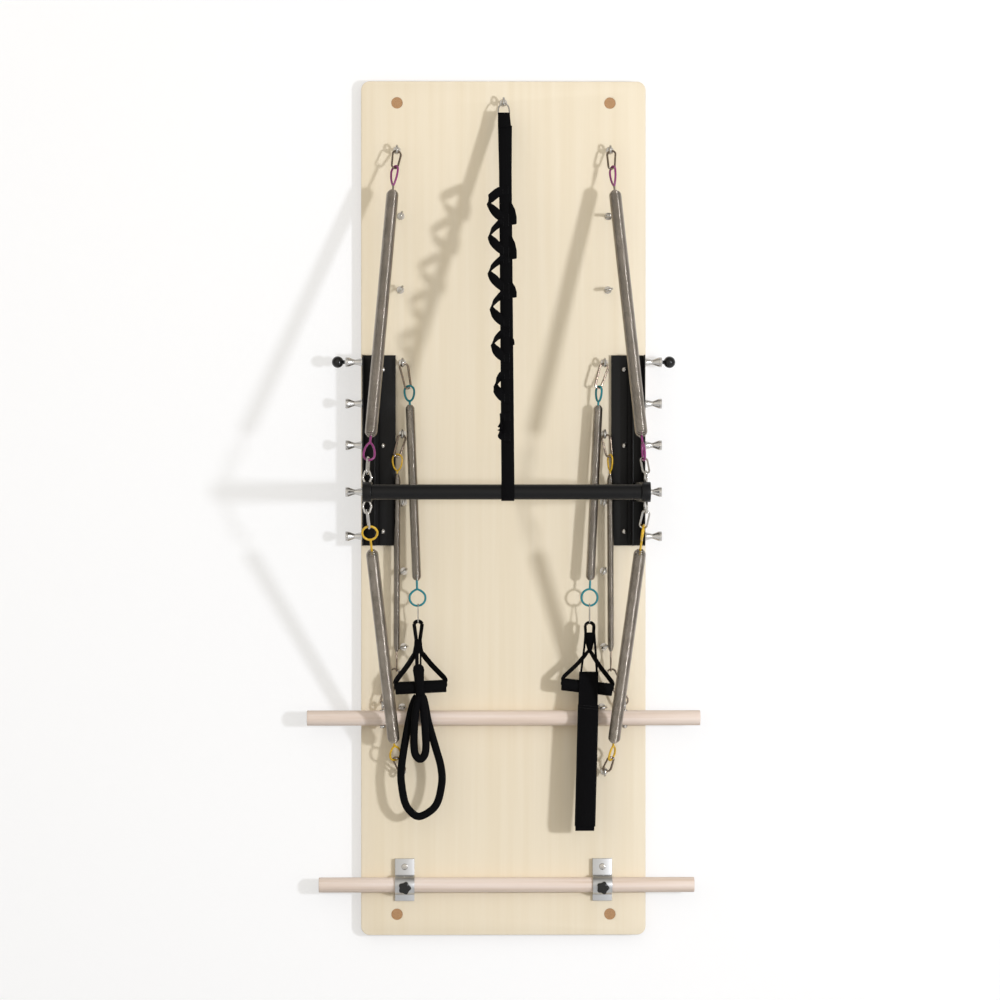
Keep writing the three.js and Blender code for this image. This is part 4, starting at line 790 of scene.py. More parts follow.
for side in sides:
    for kind, spring, body in (("upper_snap_hook", "upper_spring", "wall_board"),
                               ("lower_snap_hook", "lower_spring", "wall_board"),
                               ("roll_down_top_hook", "roll_down_spring", "wall_board"),
                               ("pull_spring_hook", "pull_spring", f"pull_spring_{side}")):
        makeHook(f"{kind}_{side}", boxMiddle(f"{spring}_{side}"), body)
    for kind in ("upper_bar_link", "lower_bar_link"):
        makeHook(f"{kind}_{side}", boxMiddle(f"bar_arm_{side}"), "push_bar", 0.0, False)
    makeHook(f"roll_down_bar_hook_{side}", boxMiddle("roll_down_bar"), "roll_down", 0.0)
print("hooks made")

# Side brackets with their posts, bolts and ball knobs

# Post and bolt shares: their heights, as shares of the bracket's half height. Post rows: a profile corner's width, how
# far in from it, its share of the post's length, and its step past that
bracket = {"plate": 0.005, "pad": 0.010, "padWidth": 0.038, "rail": 0.030, "railDepth": 0.052, "wall": 0.003,
           "gap": 0.0003, "width": 0.077, "edge": 0.0007, "postDepth": 0.030, "postLength": 0.039, "postBase": 0.020,
           "postWaist": 0.0125, "postTip": 0.023, "postBore": 0.008, "boreDepth": 0.001,
           "postRows": [("postBase", 0.0004, 0, 0), ("postBase", 0, 0, 0.0004), ("postBase", 0, 0.06, 0),
                        ("postBase", 0.0008, 0.1, 0), ("postWaist", 0, 0.40, 0), ("postWaist", 0, 0.50, 0),
                        ("postTip", 0.0006, 0.80, 0), ("postTip", 0, 0.85, 0), ("postTip", 0, 1, -0.0006),
                        ("postTip", 0.0006, 1, 0), ("postBore", 0, 1, 0), ("postBore", 0.0006, 1, -0.001)],
           "postShares": [0.925, 0.49, 0.053, -0.437, -0.902], "boltInset": 0.030, "bolt": 0.012, "boltRise": 0.005,
           "boltShares": [0.85, 0.05, -0.85], "ballTurns": (0.01, 0.35),
           "knob": 0.027, "knobNeck": 0.009, "neckStart": 0.0005, "neckEnd": 0.003}


def makeBracket(side):
    sign = sides[side]
    node, knobNode = f"side_bracket_{side}", f"ball_knob_{side}"
    a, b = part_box(node)
    inner = min(abs(a.x), abs(b.x))
    outer = inner + bracket["width"]
    middle, half = (a.z + b.z) / 2, (b.z - a.z) / 2
    back = boardFront - bracket["gap"]
    spans = [(inner, outer, bracket["plate"]), (inner, inner + bracket["padWidth"], bracket["pad"])]
    spans += [(x, x + bracket["wall"], bracket["railDepth"])
              for x in (outer - bracket["rail"], outer - bracket["wall"])]
    plates = []
    for first, last, depth in spans:
        front = boardFront - depth
        outline = [(front, a.z), (back, a.z), (back, b.z), (front, b.z)]
        plates.append(plate("plate", outline, (min(sign * first, sign * last), 0, 0), (0, 1, 0), (0, 0, 1),
                            last - first, "satin", bracket["edge"]))
    piece(f"{node}_plates", plates, "wall_board", [node])
    length = bracket["postLength"]
    post = [(bracket[width] / 2 - inset, length * share + step) for width, inset, share, step in bracket["postRows"]]
    post.append((pointRadius, length - bracket["boreDepth"]))
    bolt = socketHead(bracket["bolt"] / 2, bracket["boltRise"], 0.25, 1.2, 0.3, 0.27, 0.5)
    for name, shares, x, depth, profile, axis, finish, around, angle in (
            ("post", bracket["postShares"], outer, bracket["postDepth"], post, (sign, 0, 0), "turned", 44, 25),
            ("bolt", bracket["boltShares"], inner + bracket["boltInset"], bracket["pad"], bolt, (0, -1, 0),
             "bright", 36, 35)):
        made = [lathe(name, profile, (sign * x, boardFront - depth, middle + share * half), axis, finish, around, angle)
                for share in shares]
        piece(f"{node}_{name}s", made, "wall_board")
    centre = boxMiddle(knobNode)
    radius, neck = bracket["knob"] / 2, bracket["knobNeck"] / 2
    first, last = bracket["ballTurns"]
    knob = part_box(knobNode)
    centre[0] = (knob[1].x if sign > 0 else knob[0].x) - sign * radius
    ball = [(radius * math.sin(t), -radius * math.cos(t)) for t in np.linspace(first, math.pi - last, 26)]
    ball += [(neck, radius + bracket["neckStart"]), (neck, radius + bracket["neckEnd"]),
             (pointRadius, radius + bracket["neckEnd"])]
    piece(f"{knobNode}_round", [lathe("ball", ball, centre, (-sign, 0, 0), "gloss", 48, 50)], "wall_board",
          [knobNode])


for side in sides:
    makeBracket(side)
print("brackets made")

# Push-through bar: tube, arms, their eyes and the pivot pins

# An arm eye's outline: shares of its half width, and which of its three heights
bar = {"diameter": 0.034, "chamfer": 0.002, "edge": 0.0006, "armThickness": 0.020, "armHeight": 0.045,
       "armEdge": 0.002, "armGap": 0.0003, "eyeWire": 0.0045, "eyeWidth": 0.024, "eyeRise": 0.026, "eyeSink": 0.003,
       "eyeKneeShare": 0.36, "eyeSetBack": 0.012, "eyeTurns": {"left": 0, "right": 1.3},
       "eyeShares": [(-0.5, 0), (-1, 1), (-0.5, 2), (0.5, 2), (1, 1), (0.5, 0)], "cornerShares": (0.3, 0.15, 0.05),
       "pinHead": 0.016, "pin": 0.010, "pinHeadEdge": 0.0012, "pinHeadLength": 0.004}


def makeArmEyes(x, middle, turn):
    half, side = (bar["eyeWidth"] - bar["eyeWire"]) / 2, bar["armHeight"] / 2
    heights = (side - bar["eyeSink"], side + bar["eyeRise"] * bar["eyeKneeShare"],
               side + bar["eyeRise"] - bar["eyeWire"] / 2)
    outline = [(half * share, heights[level]) for share, level in bar["eyeShares"]]
    rounded = []
    for i, point in enumerate(outline):
        before, after = outline[i - 1], outline[(i + 1) % len(outline)]
        for toward, shares in ((before, bar["cornerShares"]), (after, bar["cornerShares"][::-1])):
            rounded += [[p + (q - p) * t for p, q in zip(point, toward)] for t in shares]
    centre = np.array([x, middle[1] + bar["eyeSetBack"], middle[2]])
    meshes = []
    for up in (1, -1):
        axis = np.array([0, 0, up])
        across = math.cos(turn) * flat + math.sin(turn) * np.cross(axis, flat)
        line = [centre + u * across + v * axis for u, v in rounded]
        meshes.append(wire("eye", line, bar["eyeWire"], "bright", 12, True, np.cross(axis, across)))
    return meshes


def makeBar():
    a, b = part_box("push_through_bar")
    middle, radius, half = boxMiddle("push_through_bar"), bar["diameter"] / 2, (b.x - a.x) / 2
    narrow, edge = radius - bar["chamfer"], bar["edge"]
    profile = [(narrow, -half), (radius, -half + edge), (radius, half - edge), (narrow, half)]
    piece("push_through_bar_tube", [lathe("tube", profile, middle, (1, 0, 0), "satin", 72)], "push_bar",
          ["push_through_bar"])
    for side, sign in sides.items():
        armNode, pinNode = f"bar_arm_{side}", f"pivot_pin_{side}"
        pin = boxMiddle(pinNode)
        x = sign * (b.x + bar["armThickness"] / 2 + bar["armGap"])
        outline = arc((-pin[1], pin[2]), bar["armHeight"] / 2, math.pi / 2, 3 * math.pi / 2, 24)
        outline += arc((-middle[1], middle[2]), bar["armHeight"] / 2, -math.pi / 2, math.pi / 2, 24)
        arm = plate("arm", outline, (x + bar["armThickness"] / 2, 0, 0), (0, -1, 0), (0, 0, 1),
                    bar["armThickness"], "satin", bar["armEdge"])
        piece(f"{armNode}_plate", [arm], "push_bar", [armNode])
        piece(f"{armNode}_eyes", makeArmEyes(x, middle, bar["eyeTurns"][side]), "push_bar")
        pinLow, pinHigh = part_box(pinNode)
        reach, head, headLength = bar["pin"] / 2, bar["pinHead"] / 2, bar["pinHeadLength"]
        length = pinHigh.x - pinLow.x
        profile = [(pointRadius, 0)] + roundedEnd(head, 0, bar["pinHeadEdge"], -1)
        profile += [(head, headLength), (reach, headLength), (reach, length), (pointRadius, length)]
        start = (pinLow.x if sign > 0 else pinHigh.x, pin[1], pin[2])
        piece(f"{pinNode}_headed", [lathe("pin", profile, start, (sign, 0, 0), "bright", 36)], "wall_board",
              [pinNode])


makeBar()
print("bar made")

# Wooden bars

dowels = {"diameter": 0.035, "edge": 0.002, "around": 64, "eyeColumn": 0.280, "nut": 0.012, "nutRise": 0.007,
          "collarShare": 1.1, "collarRise": 0.0015, "flangeShare": 1.15, "flangeRise": 0.0012, "flangeTop": 0.0014}


def makeDowel(node, middle, body):
    a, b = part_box(node)
    radius, edge, half = dowels["diameter"] / 2, dowels["edge"], (b.x - a.x) / 2
    side = roundedEnd(radius, -half, edge, -1) + roundedEnd(radius, half, edge, 1)
    wood = lathe("dowel", side, middle, (1, 0, 0), "wood", dowels["around"])
    for face in wood.polygons:
        if len(face.vertices) > 4:
            face.material_index = 1
    wood.materials.append(finishes["endGrain"])
    piece(f"{node}_dowel", [wood], body, [node])


def makeRollDownBar():
    node, thick = "roll_down_bar", dowels["diameter"] / 2
    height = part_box(node)[0].z + dowels["nutRise"] + thick
    middle = np.array([0, boxMiddle(node)[1], height])
    makeDowel(node, middle, "roll_down")
    radius, rise, top = dowels["nut"] / 2, dowels["nutRise"], height + thick
    wide = radius * dowels["flangeShare"]
    collar = disc(radius * dowels["collarShare"], dowels["collarRise"])
    nut = [(wide, 0), (wide, dowels["flangeRise"]), (radius, dowels["flangeTop"]), (radius, rise * 0.45)]
    nut += dome(radius, rise, 0.45, 0.2, 1.5)
    fittings = []
    for sign in sides.values():
        x = sign * dowels["eyeColumn"]
        centre = np.array([x, middle[1], top + (eyeBolt["Ring"] + eyeBolt["Wire"]) / 2])
        ring = [centre + eyeBolt["Ring"] / 2 * np.array([0, math.cos(t), math.sin(t)]) for t in turnsRound(40)]
        fittings.append(wire("ring", ring, eyeBolt["Wire"], "bright", 14, True, (1, 0, 0)))
        fittings.append(lathe("collar", collar, (x, middle[1], top), (0, 0, 1), "bright", 30))
        fittings.append(lathe("nut", nut, (x, middle[1], height - thick), (0, 0, -1), "bright", 30))
    piece("roll_down_bar_fittings", fittings, "roll_down")


makeRollDownBar()
footMiddle = boxMiddle("foot_bar")
makeDowel("foot_bar", footMiddle, "foot_bar")
print("wooden bars made")

# Foot bar clamps and star knobs

clamp = {"width": 0.045, "wall": 0.005, "block": 0.013, "foot": 0.008, "gap": 0.0003, "top": 0.060, "bottom": 0.038,
         "edge": 0.0006, "screw": 0.015, "screwRise": 0.0025, "knob": 0.030, "lobes": 5, "lobeShare": 0.2,
         "knobThickness": 0.015, "knobEdge": 0.0028, "knobInset": 0.004, "knobBackEdge": 0.001, "knobSteps": 120,
         "knobDrop": 0.005, "stud": 0.008, "boss": [(0.0085, 0), (0.0078, 0.0022)], "bossRise": 0.0024,
         "cap": [(0.005, 0), (0.0048, 0.0008), (pointRadius, 0.0008)], "capSink": 0.0004}


def makeClamp(side):
    node = f"foot_clamp_{side}"
    middle = boxMiddle(node)
    depth, height = -(footMiddle[1] - boardFront), footMiddle[2]
    gap, foot, block, top, bottom = (clamp[k] for k in ("gap", "foot", "block", "top", "bottom"))
    inner = dowels["diameter"] / 2 + gap
    outer = inner + clamp["wall"]
    topAngle, footAngle = math.acos((block - depth) / outer), math.acos((foot - depth) / outer)
    outline = [(gap, top), (gap, inner)] + arc((depth, 0), inner, math.pi / 2, -math.pi / 2, 28)
    outline += [(gap, -inner), (gap, -bottom), (foot, -bottom)]
    outline += arc((depth, 0), outer, -footAngle, topAngle, 32) + [(block, top)]
    body = plate("clamp", outline, (middle[0] + clamp["width"] / 2, boardFront, height), (0, -1, 0), (0, 0, 1),
                 clamp["width"], "alu", clamp["edge"])
    piece(f"{node}_body", [body], "wall_board", [node])
    head = socketHead(clamp["screw"] / 2, clamp["screwRise"], 0.3, 1.15, 0.34, 0.3, 0.3)
    place = (middle[0], boardFront - block, height + (outer + top) / 2)
    piece(f"{node}_screw", [lathe("screw", head, place, (0, -1, 0), "bright", 42)], "wall_board")


def makeStarKnob(side):
    node = f"star_knob_{side}"
    a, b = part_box(node)
    x, z = boxMiddle(f"foot_clamp_{side}")[0], footMiddle[2] - clamp["knobDrop"]
    front, thick, edge, backEdge = a.y, clamp["knobThickness"], clamp["knobEdge"], clamp["knobBackEdge"]
    levels = [(clamp["knobInset"], 0)]
    levels += [(edge * (1 - math.sin(t)), edge * (1 - math.cos(t))) for t in np.linspace(0, math.pi / 2, 5)]
    levels += [(0, thick - backEdge), (backEdge, thick)]
    rings = []
    for inset, along in levels:
        ring = []
        for turn in turnsRound(clamp["knobSteps"]):
            lobe = 1 - clamp["lobeShare"] * (1 - math.cos(clamp["lobes"] * turn)) / 2
            radius = clamp["knob"] / 2 * lobe - inset
            ring.append((x + radius * math.cos(turn), front + along, z + radius * math.sin(turn)))
        rings.append(ring)
    head = facedOut(meshOf("star", *skin(rings), "gloss", None, 45))
    radius, length = clamp["stud"] / 2, b.y - front - thick
    boss = [(pointRadius, 0)] + clamp["boss"] + [(radius, clamp["bossRise"]), (radius, length), (pointRadius, length)]
    stud = lathe("stud", boss, (x, front + thick, z), (0, 1, 0), "gloss", 32)
    cap = lathe("cap", clamp["cap"], (x, front + clamp["capSink"], z), (0, -1, 0), "gloss", 32)
    piece(f"{node}_lobed", [head, stud, cap], node, [node])


for side in sides:
    makeClamp(side)
    makeStarKnob(side)
print("clamps made")

# Ladder strap: ring, folded end, long strap round the bar, and a row of hand loops

# Hand loops: where they leave the strap, turn back and end along it, how far aside they reach, and how wide their two
# arms look. Lobes: where they start, how tall they are and how far aside they reach
strap = {"column": 0.0025, "width": 0.0292, "topWidth": 0.0325, "thickness": 0.0028, "fold": 0.0275,
         "foldLength": 0.030, "foldShare": 0.75, "foldPlay": 0.0006, "foldShares": (0.15, 0.6, 1.15),
         "ringWidth": 0.029, "ringWire": 0.0036, "ringDrop": 0.0055, "gap": 0.0003, "loop": 0.021,
         "loopThickness": 0.002, "loopForward": 0.012, "seamHalf": 0.009, "seamIn": -0.004, "seamOut": 0.006,
         "lobeForward": 0.0026, "lobeThickness": 0.0022, "lobeBevel": 0.0005, "lobeSink": 0.006, "lobeEdge": 0.001,
         "blendShares": (0.35, 0.99),
         "loops": [(0.2405, 0.274, 0.3035, 0.0415, 0.25, 0.2), (0.3245, 0.3605, 0.389, 0.0395, 0.75, 0.1),
                   (0.4205, 0.455, 0.484, 0.0405, 0.8, 0.1), (0.5135, 0.547, 0.574, 0.0365, 0.8, 0.15),
                   (0.612, 0.640, 0.665, 0.0345, 0.8, 0.15), (0.719, 0.745, 0.768, 0.029, 0.6, 0.1),
                   (0.824, 0.846, 0.866, 0.020, 0.6, 0.1)],
         "lobes": [(0.268, 0.058, 0.0105), (0.356, 0.060, 0.010), (0.476, 0.040, 0.009), (0.618, 0.020, 0.003)],
         "ringShares": [(-0.5, 0.08), (-0.25, 0.01), (0, 0), (0.25, 0.01), (0.5, 0.08), (0.86, 0.32), (1, 0.62),
                        (1, 0.94), (0.92, 1), (0, 1), (-0.92, 1), (-1, 0.94), (-1, 0.62), (-0.86, 0.32)]}


def makeLadderStrap():
    eye, barMiddle = boxMiddle("eye_bolt_top_center"), boxMiddle("push_through_bar")
    column, wide, thick = strap["column"], strap["width"], strap["thickness"]
    top = np.array([column, boardFront - eyeBolt["StandOff"], eye[2]])
    end = np.array([column, barMiddle[1], barMiddle[2]])
    wrap = bar["diameter"] / 2 + strap["gap"] + thick / 2
    far = np.linalg.norm(end - top)
    swing = math.asin(wrap / far)
    axis = np.array(Matrix.Rotation(-swing, 3, "X") @ Vector(unit(end - top)))
    front = np.cross(axis, [1, 0, 0])
    length = far * math.cos(swing)
    on = lambda along, out, aside=0.0: top + axis * along + front * out + flat * aside
    ringReach = (nodePoints("strap_d_ring") - top) @ axis
    ringTop = ringReach.min() + strap["ringWire"] / 2
    start = float(ringReach.max() - strap["ringWire"] / 2 + strap["ringDrop"])

    radius, foldLength = strap["ringWire"] / 2 + strap["foldPlay"] + thick / 4, strap["foldLength"]
    line = [on(start + foldLength * s, -radius, -column) for s in strap["foldShares"][::-1]]
    line += [on(start - radius * math.cos(t), radius * math.sin(t), -column)
             for t in np.linspace(-math.pi / 2, math.pi / 2, 13)]
    line += [on(start + foldLength * s, radius, -column * (1 - s)) for s in strap["foldShares"]]
    meshes = [ribbon("fold", line, flat, strap["fold"], thick * strap["foldShare"])]
    line = [on(start + foldLength + (length - start - foldLength) * s, 0.0) for s in np.linspace(0, 1, 40)]
    line += [end + wrap * (front * math.cos(t) + axis * math.sin(t)) for t in np.linspace(0.1, 2 * math.pi - 0.2, 36)]
    widths = np.interp(np.arange(len(line)), [0, 5], [strap["topWidth"], wide])
    meshes.append(ribbon("long", line, flat, widths, thick))

    seams, inside, forward = [], wide * 0.3, thick * 0.8
    outer = forward + strap["loopForward"]
    for leaves, turns, ends, aside, upperTurn, lowerTurn in strap["loops"]:
        first, tip, last = length * leaves, length * turns, length * ends
        reach = aside - strap["loop"] * 0.1
        points = [(first - 0.008, forward, inside), (first - 0.004, forward, 0), (first, forward * 1.5, -wide * 0.5),
                  (first * 0.35 + tip * 0.65, outer * 0.8, -reach * 0.88), (tip, outer, -reach),
                  (tip * 0.7 + last * 0.3, outer * 0.9, -reach * 0.9), (last, forward * 1.5, -wide * 0.5),
                  (last + 0.006, forward, 0), (last + 0.009, forward, inside)]
        line = smoothLine([on(*p) for p in points], 6)
        places = np.arange(len(line)) / 6
        facing = np.interp(places, range(8), [0, 0.05, upperTurn * 0.7, upperTurn, 1, 0.5 + lowerTurn, lowerTurn, 0])
        across = [unit(front * f - axis * (1.001 - f) + flat * 0.35 * max(0, 1 - abs(s - 4)))
                  for f, s in zip(facing, places)]
        meshes.append(ribbon("hand loop", line, across, strap["loop"], strap["loopThickness"]))
        for edge in (first + strap["seamIn"], last + strap["seamOut"]):
            for side in (-1, 1):
                seams.append(stitches([on(edge + u, forward + strap["loopThickness"] * 0.6, side * inside * 0.7)
                                       for u in np.linspace(-strap["seamHalf"], strap["seamHalf"], 6)]))
    edge, sunk = wide / 2, wide / 2 - strap["lobeSink"]
    for starts, tall, aside in strap["lobes"]:
        outline = [(sunk, 0), (edge - strap["lobeEdge"], 0), (edge + aside * 0.65, tall * 0.3),
                   (edge + aside, tall * 0.62), (edge + aside, tall * 0.9), (edge + aside * 0.9, tall * 0.95),
                   (sunk, tall)]
        meshes.append(plate("lobe", outline, on(length * starts, strap["lobeForward"]), flat, axis,
                            strap["lobeThickness"], "web", strap["lobeBevel"], 2))
    bodies = ["wall_board", "push_bar"]
    blend = [on(length * share, 0) for share in strap["blendShares"]]
    piece("ladder_strap_webbing", meshes, bodies, ["ladder_strap"], blend)
    piece("ladder_strap_seams", seams, bodies, (), blend)
    half = (strap["ringWidth"] - strap["ringWire"]) / 2
    line = smoothRing([on(ringTop + (start - ringTop) * y, 0, half * x - column) for x, y in strap["ringShares"]])
    piece("strap_d_ring_round", [wire("ring", line, strap["ringWire"], "bright", 12, True, front)], "wall_board",
          ["strap_d_ring"])


makeLadderStrap()
print("ladder strap made")

# Handles, in frames that lean from the pull eye bolts: x toward the middle, y forward, z down

# Eyes: a webbing eye's radius, its rise over the crossing, its flare and the points of its leg.
# Necks: the outline of one side of the sewn neck. Side route: a share of the grip's radius, a step up and a step in
# from the grip's end. Link top and foot: half of the link's outline, as steps forward and down from its top and from
# its wide foot
handle = {"shift": 0.036, "gripShift": 0.042, "web": 0.020, "webThickness": 0.0026, "grip": 0.029, "bore": 0.023,
          "gripLength": 0.118, "gripEdge": 0.0025, "coreInset": 0.003, "coreSink": 0.002, "gripGap": 0.0003,
          "turns": {"left": 0.58, "right": 0.42}, "tilts": {"left": -2.8, "right": 6.5}, "linkWire": 0.003,
          "crossings": {"left": 0.088, "right": 0.084}, "neckSink": 0.002, "neckThickness": 0.003, "neckBevel": 0.0006,
          "seamShares": (-0.36, 0.36), "seamRise": 0.0001, "leaveAside": 0.003, "leaveRise": 0.006, "bow": 0.002,
          "sideRoute": [(1, 0.003, 0.0045), (0.55, 0, 0.001), (0, -0.003, 0.004), (0, 0, 0.030)],
          "twistSteps": (0, 5, 19, 27), "twistStart": 0.2, "twistEnd": 0.05,
          "linkTop": [(0.005, 0.003), (0.0062, 0.012)], "linkFoot": [(0, -0.006), (0, -0.001), (-0.001, 0)],
          "eyes": {"left": {"radius": 0.0089, "rise": 0.0550, "flare": 0.36,
                            "leg": [(0.0012, 0.002), (0.0030, 0.012), (0.0055, 0.030)]},
                   "right": {"radius": 0.0100, "rise": 0.0550, "flare": 0.26,
                             "leg": [(0.0010, 0.000), (0.0045, 0.012), (0.0082, 0.030)]}},
          "necks": {"left": [(0.0086, 0.020), (0.0095, 0.008), (0.0118, -0.004), (0.0135, -0.014), (0.004, -0.011)],
                    "right": [(0.0108, 0.042), (0.0090, 0.034), (0.0065, 0.024), (0.0042, 0.010), (0.0008, -0.002)]}}


def leanFrame(side):
    sign = sides[side]
    eye = boxMiddle(f"eye_bolt_{side}_row_4")
    origin = np.array([eye[0], boardFront - eyeBolt["StandOff"], eye[2]])
    grip = boxMiddle(f"handle_grip_{side}")
    down = unit([0, grip[1] - origin[1], grip[2] - origin[2]])
    forward = np.array([0, down[2], -down[1]])
    on = lambda inward, ahead, drop: origin - sign * inward * flat + ahead * forward + drop * down
    return on, float((grip - origin) @ down), forward, down


def makeGrip(side, centre, gripAxis):
    half, radius, bore = handle["gripLength"] / 2, handle["grip"] / 2, handle["bore"] / 2
    edge, core, coreEnd = handle["gripEdge"], bore - handle["coreInset"], half - handle["coreSink"]
    profile = [(pointRadius, -coreEnd), (core, -coreEnd), (bore, -half)] + roundedEnd(radius, -half, edge, -1)
    profile += roundedEnd(radius, half, edge, 1) + [(bore, half), (core, coreEnd), (pointRadius, coreEnd)]
    piece(f"handle_grip_{side}_foam", [lathe("grip", profile, centre, gripAxis, "foam", 56)], f"handle_{side}",
          [f"handle_grip_{side}"])


def makeLink(side, on, down, crossing):
    node, thick = f"handle_link_{side}", handle["linkWire"]
    drops = (nodePoints(node) - on(0, 0, 0)) @ down
    top, foot = float(drops.min()) + thick / 2, float(drops.max()) - thick / 2
    wide = wirePlace(node, crossing)["width"] / 2 - thick / 2
    half = [(ahead, top + drop) for ahead, drop in handle["linkTop"]]
    half += [(wide + ahead, foot + drop) for ahead, drop in handle["linkFoot"]]
    outline = [(0, top)] + half + [(-ahead, drop) for ahead, drop in half[::-1]]
    line = smoothRing([on(handle["shift"], ahead, drop) for ahead, drop in outline])
    piece(f"{node}_round", [wire("link", line, thick, "bright", 12, True, flat)], f"handle_{side}",
          [node])


def makeHandle(side):
    on, gripDrop, forward, down = leanFrame(side)
    tilt = math.radians(handle["tilts"][side])
    gripAxis = math.cos(tilt) * flat + math.sin(tilt) * down
    gripUp = -math.cos(tilt) * down + math.sin(tilt) * flat
    centre = on(handle["gripShift"], 0, gripDrop)
    makeGrip(side, centre, gripAxis)
    crossing = on(handle["shift"], 0, gripDrop - handle["crossings"][side])
    look, web, thick, radius = handle["eyes"][side], handle["web"], handle["webThickness"], handle["grip"] / 2
    legs = [(look["radius"] * math.cos(t), look["rise"] + look["radius"] * math.sin(t))
            for t in np.linspace(0, math.pi, 13)]
    legs = look["leg"] + legs + [(-x, z) for x, z in look["leg"][::-1]]
    eye = smoothLine([crossing + flat * x - down * z for x, z in legs], 3)
    flares = []
    for away in eye - (crossing - down * look["rise"]):
        isTop = away @ down < 0
        flares.append(unit(forward + look["flare"] * (unit(away) if isTop else flat * math.copysign(1, away[0]))))
    meshes = [ribbon("eye", eye, flares, web, thick)]
    neck = handle["necks"][side]
    outline = [(-x, z) for x, z in neck] + neck[::-1]
    meshes.append(plate("neck", outline, crossing + forward * (web / 2 - handle["neckSink"]), flat, -down,
                        handle["neckThickness"], "web", handle["neckBevel"], 2))
    seams, turn = [], handle["turns"][side]
    for s in (-1, 1):
        corner = centre + gripAxis * (handle["gripLength"] / 2 + handle["gripGap"] + thick / 2) * s
        path = [corner + gripUp * (radius * share + up) - gripAxis * s * inward
                for share, up, inward in handle["sideRoute"]]
        line = smoothLine([crossing - flat * handle["leaveAside"] * s - down * handle["leaveRise"],
                           crossing + (path[0] - crossing) * 0.5 - flat * handle["bow"] * s] + path, 10)
        ways = tangents(line)
        twist = np.interp(np.arange(len(line)), [*handle["twistSteps"], len(line)],
                          [handle["twistStart"], turn, turn, handle["twistEnd"], 0.0])
        across = [math.cos(a) * forward + math.sin(a) * np.cross(w, forward) * -s for a, w in zip(twist, ways)]
        meshes.append(ribbon("side", line, across, web, thick))
        for share in handle["seamShares"]:
            seams.append(stitches([p + a * web * share + np.cross(a, w) * (thick / 2 + handle["seamRise"])
                                   for p, a, w in zip(line[2:30], across[2:30], ways[2:30])]))
    piece(f"handle_webbing_{side}_woven", meshes, f"handle_{side}", [f"handle_webbing_{side}"])
    piece(f"handle_seams_{side}", seams, f"handle_{side}")
    makeLink(side, on, down, crossing)
    return on, gripDrop, crossing, forward, down


frames = {side: makeHandle(side) for side in sides}
print("handles made")

# Rope loops under the left grip, with their sleeve and the narrow straps that carry it

# Big and small: points of each loop in millimetres from the neck, aside and up.
# Carriers: a front strap's step forward and aside, and its width. Their route: whether a point lies at the grip's
# front, its step forward and its drop from the crossing. Back and sleeve routes: shares of the grip's front and of the
# neck, each with a step past it, and before them the sleeve's share of its step aside
ropes = {"diameter": 0.0178, "front": 0.015, "neck": 0.0148, "steps": 6, "around": 18, "sleeveAside": -0.005,
         "big": [(-8, -6), (-15, -18), (-22, -40), (-27, -63), (-31.5, -86), (-39.5, -132), (-44.5, -172), (-45, -202),
                 (-37.5, -247), (-25, -270), (-4.5, -283), (23, -270), (40, -247), (49, -202), (46, -166), (36, -130),
                 (23, -86), (16.5, -62), (12.5, -40), (8, -18), (4, -6)],
         "small": [(-3, -6), (-8, -22), (-12.5, -50), (-15, -86), (-15.5, -120), (-12, -141), (-1.5, -151), (9, -141),
                   (12, -120), (10.5, -86), (8, -50), (5, -22), (2, -6)],
         "carriers": [(0.008, -0.0028, 0.0084), (0.0085, 0.0058, 0.0042)], "carrierThickness": 0.0022,
         "carrierRoute": [(0, 0, -0.006), (0, 0.002, 0.014), (1, 0, 0.034), (1, 0.001, 0.050)], "frontGap": 0.0025,
         "backWidth": 0.015, "backThickness": 0.0024,
         "backRoute": [(0.4, 0, 0, -0.036), (0, -0.006, 0, -0.030), (-1, 0, 0, 0), (-1, 0.002, 0, 0.010),
                       (0, -0.004, 1, 0.012)],
         "sleeveRoute": [(1, 0.8, 0, 0, -0.050), (1, 1, 0.002, 0, -0.042), (0.9, 1, 0.003, 0, -0.030),
                         (0.4, 1, 0.002, 0, 0), (0.2, 1, -0.001, 0, 0.015), (0, 0, 0.006, 1, 0.014)],
         "flattenShare": 0.55,
         "girthPlaces": [0, 0.6, 1.4, 2.2, 3, 4, 5], "girths": [0.012, 0.024, 0.0265, 0.0235, 0.0205, 0.022, 0.026]}


